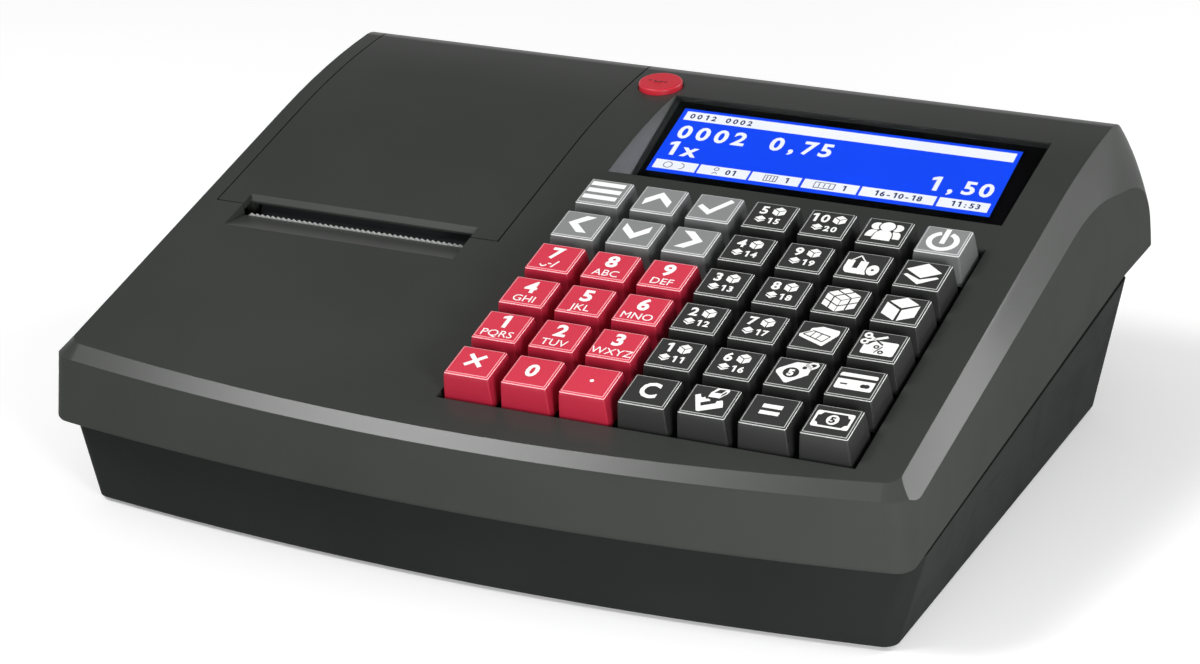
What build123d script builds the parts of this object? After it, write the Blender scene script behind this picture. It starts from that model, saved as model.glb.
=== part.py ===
from build123d import *
import os
from math import asin, cos, degrees, radians, sin, sqrt, tan

# A counter register: a wedge-shaped plastic case with a receipt printer on the left,
# a display and a keyboard on the right, and its boards and sockets inside.
# Frame: +X to the right, +Y to the rear, +Z up, in millimetres.
# The origin lies on the ground under the middle of the case.

# ---- case
case_depth = 246.5
side_draft = 1.0            # degrees that the side walls lean in
wall = 2.5
foot_height = 1.5
deck_bow_radius = 845.0     # plan radius of the deck's front edge
apron_bow_radius = 930.0    # plan radius of the fronts below it
front_corner_radius = 6.0   # at the apron's lower edge
front_corner_growth = 8.0   # degrees that the corners open going up
apron_bottom_height = 29.2  # lower edge of the front apron
apron_lean = 2.7            # degrees that the apron leans back
apron_edge_radius = 1.2     # round its lower edge

# ---- across the top, from the left side wall to the right one
cover_side_margin = 12.25   # side wall to printer cover
middle_margin = 18.55       # printer cover to keyboard opening
keyboard_side_margin = 19.9 # keyboard opening to side wall
side_chamfer_run = 6.0

# ---- deck: the sloping top, flat from its front edge to the crest
deck_slope = 13.8
deck_front_setback = 4.5
deck_front_height = 53.7
front_chamfer_run = 4.3     # along the deck
front_chamfer_drop = 2.8    # square to the deck
deck_corner_radius = 5.0

# ---- crest and rounded rear, in the side view
crest_run = 91.75           # start of the crest curve, before the rear
crest_radius = 330.0
shoulder_radius = 14.0
shoulder_angle = 48.0
rear_radius = 84.9
lip_angle = 84.0

# ---- lower edge of the side chamfers
side_edge_drop = 5.4        # below the deck's front edge
side_edge_rise = 11.2
side_edge_fall = 15.5
side_edge_peak_run = 68.0   # its peak, before the rear
side_edge_bend_radius = 85.0
side_edge_meet_angle = 80.0 # where it joins the rounded rear

# ---- lower case
base_top_front_setback = 9.2
base_top_rear_setback = 28.8
base_bottom_inset = 7.9
base_bottom_front_setback = 10.6
base_bottom_rear_setback = 34.0
base_top_corner_radius = 6.0
base_bottom_corner_radius = 5.0
base_rear_corner_radius = 2.0
ledge_thickness = 2.0
foot_radius = 7.0
foot_recess = 1.0
foot_side_inset = 32.0
foot_front_inset = 39.0
foot_rear_inset = 56.0
screw_radius = 1.5
screw_head_radius = 2.8
screw_head_height = 2.2
screw_length = 26.0
screw_play = 0.2
screw_head_play = 0.4
screw_head_recess = 0.6
screw_slot_length = 4.0
screw_slot_width = 0.8
screw_slot_depth = 1.0
front_screw_side_inset = 12.5
front_screw_inset = 38.0
middle_screw_gap = 9.5      # beside the printer cover
middle_screw_rear_inset = 82.0
rear_screw_side_inset = 14.5
rear_screw_inset = 52.0
boss_radius = 4.0
screw_tube_height = 20.0

# ---- keyboard, seven columns by six rows
key_pitch = 19.05
key_columns = 7
key_rows = 6
keyboard_v = 71.8           # centre of the keys, up the deck from its front edge
key_top_width = 14.64
key_top_depth = 14.09
key_skirt_width = 17.9
key_top_height = 8.2        # above the deck
key_skirt_drop = 2.5        # below the deck
key_wall = 1.2
key_top_thickness = 1.3
key_corner_radius = 1.0
key_edge = 0.4              # chamfer round the top
key_travel = 3.5
keyboard_margin = 1.0       # from the outer keys to the opening
switch_width = 13.6
switch_height = 11.0
switch_top_drop = 5.0       # below the deck
stem_radius = 2.75
stem_clearance = 0.1
stem_length_below_deck = 9.0
bore_end_thickness = 2.8
board_thickness = 1.6
board_overlap = 2.5
rim_thickness = 2.0

# ---- display
display_v = 143.5           # front lip of the recess
display_width = 135.0
display_length = 52.9
display_lip_depth = 7.5
display_tilt = 4.8          # steeper than the deck
display_side_draft = 24.0
display_wall = 2.0
window_thickness = 2.0
window_gap = 0.2
window_ledge = 2.0
lcd_cell_width = 122.0
lcd_cell_length = 38.0
lcd_cell_centre = 32.2      # up the glass from its front edge
lcd_frame_width = 126.0
lcd_frame_length = 50.0
lcd_frame_thickness = 7.0

# ---- paper feed button
button_side_gap = 11.35     # printer cover to the button's middle
button_from_rear = 45.5
button_radius = 7.5
button_proud = 2.0
button_gap = 0.3
button_travel = 1.5
button_skirt = 4.5
button_stem_radius = 2.0
button_switch_width = 6.0
button_switch_room = 3.5
button_board_width = 19.0
button_board_length = 12.0
button_post_width = 2.0
button_post_length = 6.0
button_edge_radius = 0.8

# ---- printer
paper_width = 80.0
cover_side_overhang = 0.75  # cover past the bucket under it
cover_v = 96.4              # front edge of the cover
cover_gap = 0.5
cover_thickness = 2.5
hinge_angle = 60.0          # place of the hinge on the rounded rear
hinge_barrel_radius = 3.0
hinge_barrel_gap = 0.4
hinge_pin_radius = 1.5
hinge_running_gap = 0.05
hinge_boss_length = 5.0
hinge_boss_radius = 4.5
cover_ledge_gap = 0.3
cover_ledge_width = 2.2
cover_ledge_thickness = 2.0
mouth_side_gap = 2.1        # paper to the mouth's side
mouth_v = 83.4
mouth_length = 10.8
mouth_depth = 3.2
mouth_wall = 2.0
mouth_skirt = 5.0
notch_depth = 3.9
notch_bevel = 1.6
tear_bar_inset = 0.35       # its ends from the paper's edges
tear_bar_thickness = 0.8
tear_bar_height = 6.0
tooth_pitch = 2.0
tooth_height = 0.7
platen_v = 106.5
platen_drop = 10.0          # axis below the deck
platen_radius = 5.5
platen_shaft_radius = 2.0
ear_thickness = 3.0
ear_gap = 2.0
ear_width = 10.0
shaft_end = 1.0             # shaft past its ear
gear_module = 0.5
platen_teeth = 24
pinion_teeth = 12
gear_width = 3.0
gear_end_gap = 0.3          # ear to gear
gear_backlash = 0.2
gear_side_gap = 0.7
tooth_addendum = 0.8        # these two in modules
tooth_dedendum = 1.1
tooth_tip_share = 0.26      # these two of the tooth pitch
tooth_root_share = 0.54
head_gap = 0.3
head_overhang = 2.0         # past the paper's edges
head_length = 14.0
head_thickness = 6.0
head_strip_length = 6.0
head_strip_thickness = 1.0
bucket_wall = 2.0
bucket_front_run = 7.9      # front wall behind the platen axis
bucket_length = 94.0
bucket_floor_height = 14.0
bucket_floor_radius = 32.0
bucket_top_gap = 0.4
cheek_run = 12.0            # forward of the platen axis
cheek_depth = 22.0
pinion_hole_gap = 1.0
bucket_post_radius = 4.0
bucket_post_inset = 12.0
bucket_post_run = 6.0       # past the round of the floor
motor_radius = 9.0
motor_length = 13.0
motor_shaft_radius = 1.0

# ---- main board and rear sockets
main_board_height = 9.0
main_board_width = 120.0
main_board_length = 130.6
main_board_side_inset = 22.2
board_rear_gap = 1.5
board_post_radius = 3.0
board_post_inset = 6.0
board_post_rear_inset = 22.0
# parts on the main board: width, length and height, and their corner from its front left one
processor = ((16.0, 16.0, 1.5), (28.0, 25.0))
memory = ((12.0, 18.0, 1.2), (60.0, 45.0))
header = ((22.0, 8.0, 8.0), (88.0, 15.0))
socket_depth = 15.0
socket_face_gap = 0.5
socket_clearance = 0.4
network_size = (16.0, 13.6)
network_hole = (11.8, 8.0)
drawer_size = (13.4, 12.4)
drawer_hole = (9.8, 7.0)
socket_hole_depth = 11.5
power_size = (9.0, 11.0)
power_hole_radius = 3.2
power_pin_radius = 1.0
power_pin_drop = 1.5
network_inset = 26.0        # from the board's right edge
socket_spacing = 24.0

# ---- worked out from the values above
platen_length = paper_width
tear_bar_width = paper_width - 2 * tear_bar_inset
mouth_width = paper_width + 2 * mouth_side_gap
head_width = paper_width + 2 * head_overhang
ear_inner = platen_length / 2 + ear_gap
ear_outer = ear_inner + ear_thickness
gear_low = ear_outer + gear_end_gap
gear_high = gear_low + gear_width
bucket_width = 2 * (gear_high + gear_side_gap + bucket_wall)
cover_width = bucket_width + 2 * cover_side_overhang
keys_half_width = (key_columns - 1) / 2 * key_pitch + key_skirt_width / 2
keys_half_depth = (key_rows - 1) / 2 * key_pitch + key_skirt_width / 2
opening_half_width = keys_half_width + keyboard_margin
opening_half_depth = keys_half_depth + keyboard_margin / 2
case_width = (
    cover_side_margin + cover_width + middle_margin + 2 * opening_half_width + keyboard_side_margin
)
half_width = case_width / 2  # at the parting line
deck_half = half_width - side_chamfer_run
cover_half = cover_width / 2
printer_x = -half_width + cover_side_margin + cover_half
keyboard_x = half_width - keyboard_side_margin - opening_half_width
display_x = keyboard_x
button_x = printer_x + cover_half + button_side_gap
front_y = -case_depth / 2
rear_y = case_depth / 2
deck_front_y = front_y + deck_front_setback
slope_sin = sin(radians(deck_slope))
slope_cos = cos(radians(deck_slope))
deck = Plane(
    origin=(0, deck_front_y, deck_front_height),
    x_dir=(1, 0, 0),
    z_dir=(0, -slope_sin, slope_cos),
)
margin = 40.0    # how far a cutting block reaches past the case
overcut = 1.0    # how far a cut runs past the face it opens
same_place = 0.01
roof_overcut = 10.0


def polar(centre, radius, angle):
    # a point in the side view; the angle is in degrees from straight up towards the rear
    return (centre[0] + radius * sin(radians(angle)), centre[1] + radius * cos(radians(angle)))


def side_arc(centre, radius, start, end):
    middle = (start + end) / 2
    return ThreePointArc(
        polar(centre, radius, start), polar(centre, radius, middle), polar(centre, radius, end)
    )


def deck_side(v, n):
    # a deck place, v up the slope and n square to it, in the side view
    return (
        deck_front_y + v * slope_cos - n * slope_sin,
        deck_front_height + v * slope_sin + n * slope_cos,
    )


def deck_height(y):
    return deck_front_height + (y - deck_front_y) * slope_sin / slope_cos


def slab(x_range, y_range, z_range):
    sizes = [high - low for low, high in (x_range, y_range, z_range)]
    middles = [(high + low) / 2 for low, high in (x_range, y_range, z_range)]
    return Pos(*middles) * Box(*sizes)


def across(face, x_low, x_high):
    # a side-view face made into a solid between two places across the case
    return extrude(Plane.YZ.offset(x_low) * face, amount=x_high - x_low)


def filled(points):
    return make_face(Polyline(*points, close=True))


def rod(radius, x_low, x_high, centre):
    return across(Pos(*centre) * Circle(radius), x_low, x_high)


# the side view's circles: crest, shoulder and rear, each tangent to the next
crest_start_y = rear_y - crest_run
crest_centre = polar((crest_start_y, deck_height(crest_start_y)), -crest_radius, -deck_slope)
rear_centre_y = rear_y - rear_radius * sin(radians(lip_angle))
shoulder_y = rear_centre_y + (rear_radius - shoulder_radius) * sin(radians(shoulder_angle))
crest_reach = crest_radius - shoulder_radius
crest_end_angle = degrees(asin((shoulder_y - crest_centre[0]) / crest_reach))
shoulder_centre = polar(crest_centre, crest_reach, crest_end_angle)
rear_centre = polar(shoulder_centre, shoulder_radius - rear_radius, shoulder_angle)
lip_height = polar(rear_centre, rear_radius, lip_angle)[1]

# the lower edge of the side chamfers: a line up, a bend and a line down
side_peak_y = rear_y - side_edge_peak_run
side_peak_height = (
    deck_front_height - side_edge_drop
    + (side_peak_y - deck_front_y) * tan(radians(side_edge_rise))
)
bend_half = (side_edge_rise + side_edge_fall) / 2
bend_lean = (side_edge_fall - side_edge_rise) / 2
bend_centre = polar(
    (side_peak_y, side_peak_height), -side_edge_bend_radius / cos(radians(bend_half)), bend_lean
)

# the parting plane between the two halves, rising from the apron to the rear lip
parting_rear_y = rear_y - base_top_rear_setback
parting_slope = (lip_height - apron_bottom_height) / (parting_rear_y - front_y)
parting_cos = 1 / sqrt(1 + parting_slope**2)
parting = Plane(
    origin=(0, front_y, apron_bottom_height),
    x_dir=(1, 0, 0),
    z_dir=(0, -parting_slope * parting_cos, parting_cos),
)


def roof_face(inset):
    # everything below the top at the deck's width, seen from the side
    front = polar((front_y - margin, deck_height(front_y - margin)), -inset, -deck_slope)
    start = polar((crest_start_y, deck_height(crest_start_y)), -inset, -deck_slope)
    lip = polar(rear_centre, rear_radius - inset, lip_angle)
    edges = [
        Line(front, start),
        side_arc(crest_centre, crest_radius - inset, -deck_slope, crest_end_angle),
        side_arc(shoulder_centre, shoulder_radius - inset, crest_end_angle, shoulder_angle),
        side_arc(rear_centre, rear_radius - inset, shoulder_angle, lip_angle),
        Line(lip, (lip[0], 0)),
        Line((lip[0], 0), (front[0], 0)),
        Line((front[0], 0), front),
    ]
    return make_face(edges)


def chamfer_face(inset, share):
    # everything below the side chamfer, seen from the side, at a share of its run from the deck
    # to the side wall: a line, a bend and a curve that runs into the rounded rear
    crest = crest_radius - inset
    bend = side_edge_bend_radius - inset
    deck_points = [
        polar((front_y - margin, deck_height(front_y - margin)), -inset, -deck_slope),
        polar(crest_centre, crest, -deck_slope),
        polar(crest_centre, crest, (crest_end_angle - deck_slope) / 2),
        polar(crest_centre, crest, crest_end_angle),
    ]
    start = polar(bend_centre, bend, -side_edge_rise)
    run = start[0] - (front_y - margin)
    side_points = [
        (front_y - margin, start[1] - run * tan(radians(side_edge_rise))),
        start,
        polar(bend_centre, bend, bend_lean),
        polar(bend_centre, bend, side_edge_fall),
    ]
    front, first, middle, last = [
        (a[0] + (b[0] - a[0]) * share, a[1] + (b[1] - a[1]) * share)
        for a, b in zip(deck_points, side_points)
    ]
    arc = ThreePointArc(first, middle, last)
    meet_angle = shoulder_angle + (side_edge_meet_angle - shoulder_angle) * share
    meet = polar(rear_centre, rear_radius - inset, meet_angle)
    lip = polar(rear_centre, rear_radius - inset, lip_angle)
    edges = [
        Line(front, first),
        arc,
        Spline(last, meet, tangents=(arc % 1, polar((0, 0), 1, 90 + meet_angle))),
        side_arc(rear_centre, rear_radius - inset, meet_angle, lip_angle),
        Line(lip, (lip[0], 0)),
        Line((lip[0], 0), (front[0], 0)),
        Line((front[0], 0), front),
    ]
    return make_face(edges)


def bowed_outline(half, front, rear, radius, front_radius, rear_radius_plan=0):
    # a plan outline with a bowed front and rounded corners
    bow_drop = radius - sqrt(radius**2 - half**2)
    edges = [
        ThreePointArc((-half, front + bow_drop), (0, front), (half, front + bow_drop)),
        Line((half, front + bow_drop), (half, rear)),
        Line((half, rear), (-half, rear)),
        Line((-half, rear), (-half, front + bow_drop)),
    ]
    face = make_face(edges)
    corners = face.vertices().sort_by(Axis.Y)
    face = fillet(corners[:2], front_radius)
    if rear_radius_plan > 0:
        face = fillet(face.vertices().sort_by(Axis.Y)[-2:], rear_radius_plan)
    return face


def side_chamfer(inset):
    # from the deck's side edge to the right side wall: flat along the deck, rounded behind it
    near = Plane.YZ.offset(deck_half - inset) * roof_face(inset)
    middle = Plane.YZ.offset(deck_half + side_chamfer_run / 2 - inset) * chamfer_face(inset, 1 / 2)
    far = Plane.YZ.offset(half_width - inset) * chamfer_face(inset, 1)
    behind = slab((0, half_width), (crest_start_y, rear_y), (0, case_depth))
    return (loft([near, far], ruled=True) - behind) + (loft([near, middle, far]) & behind)


def case_form(inset):
    # the outside of the upper case, or its inside for a wall of the given inset
    roof = across(roof_face(inset), -(deck_half - inset), deck_half - inset)
    right = side_chamfer(inset)
    roof = roof + right + mirror(right, Plane.YZ)
    lean = tan(radians(apron_lean))
    draft = tan(radians(side_draft))
    outlines = []
    for height in (0, case_depth):
        rise = height - apron_bottom_height
        outlines.append(Pos(0, 0, height) * bowed_outline(
            half_width - inset - rise * draft, front_y + inset + rise * lean, rear_y + margin,
            apron_bow_radius,
            front_corner_radius - inset / 2 + rise * tan(radians(front_corner_growth)),
        ))
    plan = loft(outlines, ruled=True)
    steps = case_depth / 2 / front_chamfer_drop
    outset = steps * front_chamfer_run
    drop = steps * front_chamfer_drop
    chamfered = loft(
        [
            deck * Pos(0, 0, -drop) * bowed_outline(
                deck_half + outset, inset - outset, case_depth + margin + outset,
                deck_bow_radius + outset, deck_corner_radius + outset,
            ),
            deck * bowed_outline(
                deck_half, inset, case_depth + margin, deck_bow_radius, deck_corner_radius,
            ),
        ],
        ruled=True,
    )
    return roof & plan & chamfered


def below_parting(raised):
    # everything under the parting line, seen from the side and run across the case
    front = front_y - margin
    face = filled([
        (front, apron_bottom_height + raised - margin * parting_slope),
        (parting_rear_y, lip_height + raised),
        (rear_y + margin, lip_height + raised),
        (rear_y + margin, -margin),
        (front, -margin),
    ])
    return across(face, -half_width - margin, half_width + margin)


def base_form(inset):
    bottom = bowed_outline(
        half_width - base_bottom_inset - inset,
        front_y + base_bottom_front_setback + inset,
        rear_y - base_bottom_rear_setback - inset,
        apron_bow_radius, base_bottom_corner_radius - inset / 2, base_rear_corner_radius - inset / 2,
    )
    top = bowed_outline(
        half_width - inset,
        (base_top_front_setback + inset) / parting_cos,
        (case_depth - base_top_rear_setback - inset) / parting_cos,
        apron_bow_radius, base_top_corner_radius - inset / 2, base_rear_corner_radius - inset / 2,
    )
    return loft([Pos(0, 0, foot_height) * bottom, parting * top], ruled=True)


# ---- places that several pieces share
screw_places = [
    (-half_width + front_screw_side_inset, front_y + front_screw_inset),
    (half_width - front_screw_side_inset, front_y + front_screw_inset),
    (printer_x + cover_half + middle_screw_gap, rear_y - middle_screw_rear_inset),
    (half_width - rear_screw_side_inset, rear_y - rear_screw_inset),
]
foot_places = [
    (side * (half_width - foot_side_inset), y)
    for side in (-1, 1)
    for y in (front_y + foot_front_inset, rear_y - foot_rear_inset)
]
floor_top = foot_height + wall
board_top_drop = switch_top_drop + switch_height
hinge_axis = polar(rear_centre, rear_radius - hinge_barrel_radius, hinge_angle)
platen_axis = deck_side(platen_v, -platen_drop)
gear_distance = gear_module * (platen_teeth + pinion_teeth) / 2 + gear_backlash / 2
pinion_axis = (platen_axis[0], platen_axis[1] - gear_distance)
motor_face = printer_x + bucket_width / 2
bucket_front_y = platen_axis[0] + bucket_front_run
bucket_rear_y = bucket_front_y + bucket_length
button_y = rear_y - button_from_rear
button_board_drop = button_skirt + button_travel + button_switch_room
button_angle = degrees(asin((button_y - crest_centre[0]) / crest_radius))
button_place = polar(crest_centre, crest_radius, button_angle)
button_plane = Plane(
    origin=(button_x, button_place[0], button_place[1]),
    x_dir=(1, 0, 0),
    z_dir=(0, sin(radians(button_angle)), cos(radians(button_angle))),
)
glass_angle = deck_slope + display_tilt
glass_origin = deck_side(display_v, -display_lip_depth)
glass = Plane(
    origin=(display_x, glass_origin[0], glass_origin[1]),
    x_dir=(1, 0, 0),
    z_dir=(0, -sin(radians(glass_angle)), cos(radians(glass_angle))),
)
tilt_tan = tan(radians(display_tilt))
draft_tan = tan(radians(display_side_draft))


def display_outline(depth, grow):
    # the four corners of the recess, a given depth under its glass, on the glass plane
    rear_depth = display_lip_depth - display_length * tilt_tan
    front_half = display_width / 2 - (display_lip_depth + depth) * draft_tan + grow
    rear_half = display_width / 2 - (rear_depth + depth) * draft_tan + grow
    glass_length = display_length / cos(radians(display_tilt))
    return filled([
        (-front_half, -grow),
        (front_half, -grow),
        (rear_half, glass_length + grow),
        (-rear_half, glass_length + grow),
    ])


def display_recess(bottom, top, grow):
    # a drafted block over the glass plane, from bottom to top above the glass
    low = glass * Pos(0, 0, bottom) * display_outline(-bottom, grow)
    high = glass * Pos(0, 0, top) * display_outline(-top, grow)
    return loft([low, high], ruled=True)


def deck_block(x_range, v_range, n_range):
    return deck * slab(x_range, v_range, n_range)


def around(centre, half):
    return (centre - half, centre + half)


def in_front_of_hinge(low_inset, high_inset):
    # the strip of roof between two insets, from the cover's front edge to the hinge
    strip = roof_face(low_inset) - roof_face(high_inset)
    front_cut = filled([
        deck_side(cover_v, margin),
        deck_side(cover_v, -2 * margin),
        deck_side(-2 * margin, -2 * margin),
        deck_side(-2 * margin, margin),
    ])
    far = 3 * margin
    rear_cut = filled([
        polar(rear_centre, -far, hinge_angle),
        polar(rear_centre, rear_radius + far, hinge_angle),
        polar(polar(rear_centre, rear_radius + far, hinge_angle), far, hinge_angle + 90),
        polar(polar(rear_centre, -far, hinge_angle), far, hinge_angle + 90),
    ])
    return strip - front_cut - rear_cut


# ---- upper case
def make_upper_case():
    outside = case_form(0)
    shell = outside - below_parting(0)
    shell -= case_form(wall) - below_parting(ledge_thickness)
    floor_opening = bowed_outline(
        half_width - wall,
        front_y + base_top_front_setback + wall,
        rear_y - base_top_rear_setback - wall,
        apron_bow_radius, base_top_corner_radius, base_rear_corner_radius,
    )
    shell -= extrude(floor_opening, amount=lip_height + ledge_thickness)

    # keyboard opening with its rim, which stands on the keyboard's board
    rim = deck_block(
        around(keyboard_x, opening_half_width + rim_thickness),
        around(keyboard_v, opening_half_depth + rim_thickness),
        (-board_top_drop, -wall / 2),
    )
    shell += rim
    shell -= deck_block(
        around(keyboard_x, opening_half_width),
        around(keyboard_v, opening_half_depth),
        (-board_top_drop, margin),
    )

    # display recess, its tub and the ledge under the window
    tub = display_recess(-window_thickness - window_ledge, display_lip_depth, display_wall)
    shell += tub & outside
    shell -= display_recess(-window_thickness, margin, 0)
    shell -= glass * slab(
        around(0, lcd_cell_width / 2 + window_gap),
        around(lcd_cell_centre, lcd_cell_length / 2 + window_gap),
        (-margin / 2, margin / 2),
    )

    # printer opening, the ledge for the cover and the hinge bosses
    opening = across(
        in_front_of_hinge(-roof_overcut, wall + roof_overcut / 2),
        printer_x - cover_half - cover_gap, printer_x + cover_half + cover_gap,
    )
    shell -= opening
    shell -= deck_block(
        around(printer_x, cover_half + cover_gap),
        (cover_v - cover_gap, cover_v + 2 * cover_gap),
        (-wall - overcut, margin),
    )
    relief = hinge_barrel_radius + hinge_barrel_gap
    shell -= rod(
        relief, printer_x - cover_half - cover_gap, printer_x + cover_half + cover_gap, hinge_axis
    )
    outer = polar(hinge_axis, margin, hinge_angle)
    swing = filled([
        hinge_axis,
        outer,
        polar(outer, relief, hinge_angle + 90),
        polar(hinge_axis, relief, hinge_angle + 90),
    ])
    shell -= across(swing, printer_x - cover_half - cover_gap, printer_x + cover_half + cover_gap)
    ledge_low = cover_thickness + cover_ledge_gap
    ledge_face = in_front_of_hinge(ledge_low, ledge_low + cover_ledge_thickness)
    root_face = in_front_of_hinge(wall / 2, ledge_low + cover_ledge_thickness)
    clear_of_barrel = rod(
        hinge_barrel_radius + hinge_barrel_gap, printer_x - case_width, printer_x + case_width, hinge_axis
    )
    for side in (-1, 1):
        edge = printer_x + side * (cover_half + cover_gap)
        inner = edge - side * cover_ledge_width
        outer = edge + side * wall
        ledge = across(ledge_face, min(inner, outer), max(inner, outer)) - clear_of_barrel
        root = across(root_face, min(edge, outer), max(edge, outer))
        boss_end = edge + side * hinge_boss_length
        boss = rod(hinge_boss_radius, min(edge, boss_end), max(edge, boss_end), hinge_axis)
        shell += ledge + root + (boss & outside)
    shell -= rod(
        hinge_pin_radius + hinge_running_gap,
        printer_x - cover_half - cover_gap - hinge_boss_length,
        printer_x + cover_half + cover_gap + hinge_boss_length,
        hinge_axis,
    )

    # paper mouth: a sunk slope that ends at the tear bar, between two cheeks
    mouth_end = mouth_v + mouth_length
    shell -= deck_block(
        around(printer_x, mouth_width / 2), (mouth_v, cover_v), (-wall - overcut, margin)
    )
    slope_face = filled([
        deck_side(mouth_v - mouth_wall, -wall / 2),
        deck_side(mouth_v, 0),
        deck_side(mouth_end, -mouth_depth),
        deck_side(mouth_end, -mouth_depth - mouth_skirt),
        deck_side(mouth_end - mouth_wall, -mouth_depth - mouth_skirt),
        deck_side(mouth_end - mouth_wall, -mouth_depth - mouth_wall),
        deck_side(mouth_v - mouth_wall, -wall - mouth_wall / 2),
    ])
    shell += across(slope_face, *around(printer_x, mouth_width / 2 + mouth_wall))
    for side in (-1, 1):
        shell += deck_block(
            around(printer_x + side * (mouth_width + mouth_wall) / 2, mouth_wall / 2),
            (mouth_v - mouth_wall, cover_v - cover_gap),
            (-mouth_depth - mouth_skirt, -wall / 2),
        )
    shell -= deck_block(
        around(printer_x, mouth_width / 2), (mouth_v, mouth_end), (0, margin)
    )

    # paper feed button: its hole, collar and the posts of its small board
    guide = button_plane * Pos(0, 0, -button_skirt) * Cylinder(
        button_radius + button_gap + mouth_wall, button_skirt,
        align=(Align.CENTER, Align.CENTER, Align.MIN),
    )
    shell += guide & outside
    shell -= button_plane * Pos(0, 0, -margin / 2) * Cylinder(
        button_radius + button_gap, margin, align=(Align.CENTER, Align.CENTER, Align.MIN)
    )
    for side in (-1, 1):
        post = button_plane * Pos(side * (button_board_width - button_post_width) / 2, 0, 0) * slab(
            around(0, button_post_width / 2),
            around(0, button_post_length / 2),
            (-button_board_drop, -wall / 2),
        )
        shell += post - button_plane * Cylinder(button_radius + button_gap, margin)

    # screw bosses, from the roof down to the tubes of the lower case
    for x, y in screw_places:
        boss = Pos(x, y, screw_tube_height) * Cylinder(
            boss_radius, case_depth, align=(Align.CENTER, Align.CENTER, Align.MIN)
        )
        shell += boss & outside
        shell -= Pos(x, y, screw_tube_height) * Cylinder(
            screw_radius, screw_length, align=(Align.CENTER, Align.CENTER, Align.MIN)
        )

    # the lower edge is rounded at the front and the sides
    underside = max(
        (f for f in shell.faces() if abs(parting.to_local_coords(f.center()).Z) < same_place),
        key=lambda f: f.area,
    )
    lower_edges = underside.outer_wire().edges().sort_by(Axis.Y)[:-1]
    shell = fillet(lower_edges, apron_edge_radius)
    return shell


# ---- lower case
def rear_wall_y(height):
    # outer face of the sloping rear wall of the base
    share = (height - foot_height) / (lip_height - foot_height)
    return rear_y - base_bottom_rear_setback + share * (base_bottom_rear_setback - base_top_rear_setback)


socket_face_y = rear_wall_y(main_board_height) - socket_face_gap
main_board_rear = socket_face_y - wall - board_rear_gap
main_board_front = main_board_rear - main_board_length
main_board_right = half_width - main_board_side_inset
main_board_left = main_board_right - main_board_width
board_top = main_board_height + board_thickness
network_x = main_board_right - network_inset
drawer_x = network_x - socket_spacing
power_x = drawer_x - socket_spacing
sockets = [(network_x, network_size), (drawer_x, drawer_size), (power_x, power_size)]
board_posts = [
    (x, y)
    for x in (main_board_left + board_post_inset, main_board_right - board_post_inset)
    for y in (main_board_front + board_post_inset, main_board_rear - board_post_rear_inset)
]


def make_lower_case():
    outside = base_form(0)
    shell = outside - (base_form(wall) - slab(
        around(0, case_width), around(0, case_depth), (-margin, floor_top)
    ))
    for x, y in board_posts:
        shell += Pos(x, y, floor_top - wall / 2) * Cylinder(
            board_post_radius, main_board_height - floor_top + wall / 2,
            align=(Align.CENTER, Align.CENTER, Align.MIN),
        )
    for x, y in screw_places:
        tube = Pos(x, y, foot_height) * Cylinder(
            boss_radius, screw_tube_height - foot_height, align=(Align.CENTER, Align.CENTER, Align.MIN)
        )
        shell += tube & outside
        shell -= Pos(x, y, 0) * Cylinder(
            screw_radius + screw_play, screw_tube_height + overcut,
            align=(Align.CENTER, Align.CENTER, Align.MIN),
        )
        shell -= Pos(x, y, 0) * Cylinder(
            screw_head_radius + screw_head_play, foot_height + screw_head_height + screw_head_recess,
            align=(Align.CENTER, Align.CENTER, Align.MIN),
        )
    for x, y in foot_places:
        shell -= Pos(x, y, 0) * Cylinder(
            foot_radius, foot_height + foot_recess, align=(Align.CENTER, Align.CENTER, Align.MIN)
        )
    for x, (width, height) in sockets:
        shell -= slab(
            around(x, width / 2 + socket_clearance),
            (main_board_rear, rear_y),
            (board_top - socket_clearance, board_top + height + socket_clearance),
        )
    # bucket supports
    support_run = bucket_floor_radius + bucket_post_run
    for x in around(printer_x, bucket_width / 2 - bucket_post_inset):
        for y in (bucket_front_y + support_run, bucket_rear_y - support_run):
            shell += Pos(x, y, floor_top - wall / 2) * Cylinder(
                bucket_post_radius, bucket_floor_height - floor_top + wall / 2,
                align=(Align.CENTER, Align.CENTER, Align.MIN),
            )
    return shell


def make_feet():
    return [
        Pos(x, y, 0) * Cylinder(
            foot_radius, foot_height + foot_recess, align=(Align.CENTER, Align.CENTER, Align.MIN)
        )
        for x, y in foot_places
    ]


def make_screws():
    screws = []
    for x, y in screw_places:
        shank = Cylinder(screw_radius, screw_length, align=(Align.CENTER, Align.CENTER, Align.MIN))
        head = Cylinder(
            screw_head_radius, screw_head_height, align=(Align.CENTER, Align.CENTER, Align.MIN)
        )
        slot = Box(screw_slot_length, screw_slot_width, 2 * screw_slot_depth)
        slot += Box(screw_slot_width, screw_slot_length, 2 * screw_slot_depth)
        screws.append(Pos(x, y, foot_height + screw_head_recess) * (shank + head - slot))
    return screws


# ---- keyboard
def key_places():
    places = []
    for row in range(key_rows):
        for column in range(key_columns):
            x = keyboard_x + (column - (key_columns - 1) / 2) * key_pitch
            v = keyboard_v - (row - (key_rows - 1) / 2) * key_pitch
            places.append((x, v))
    return places


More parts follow.
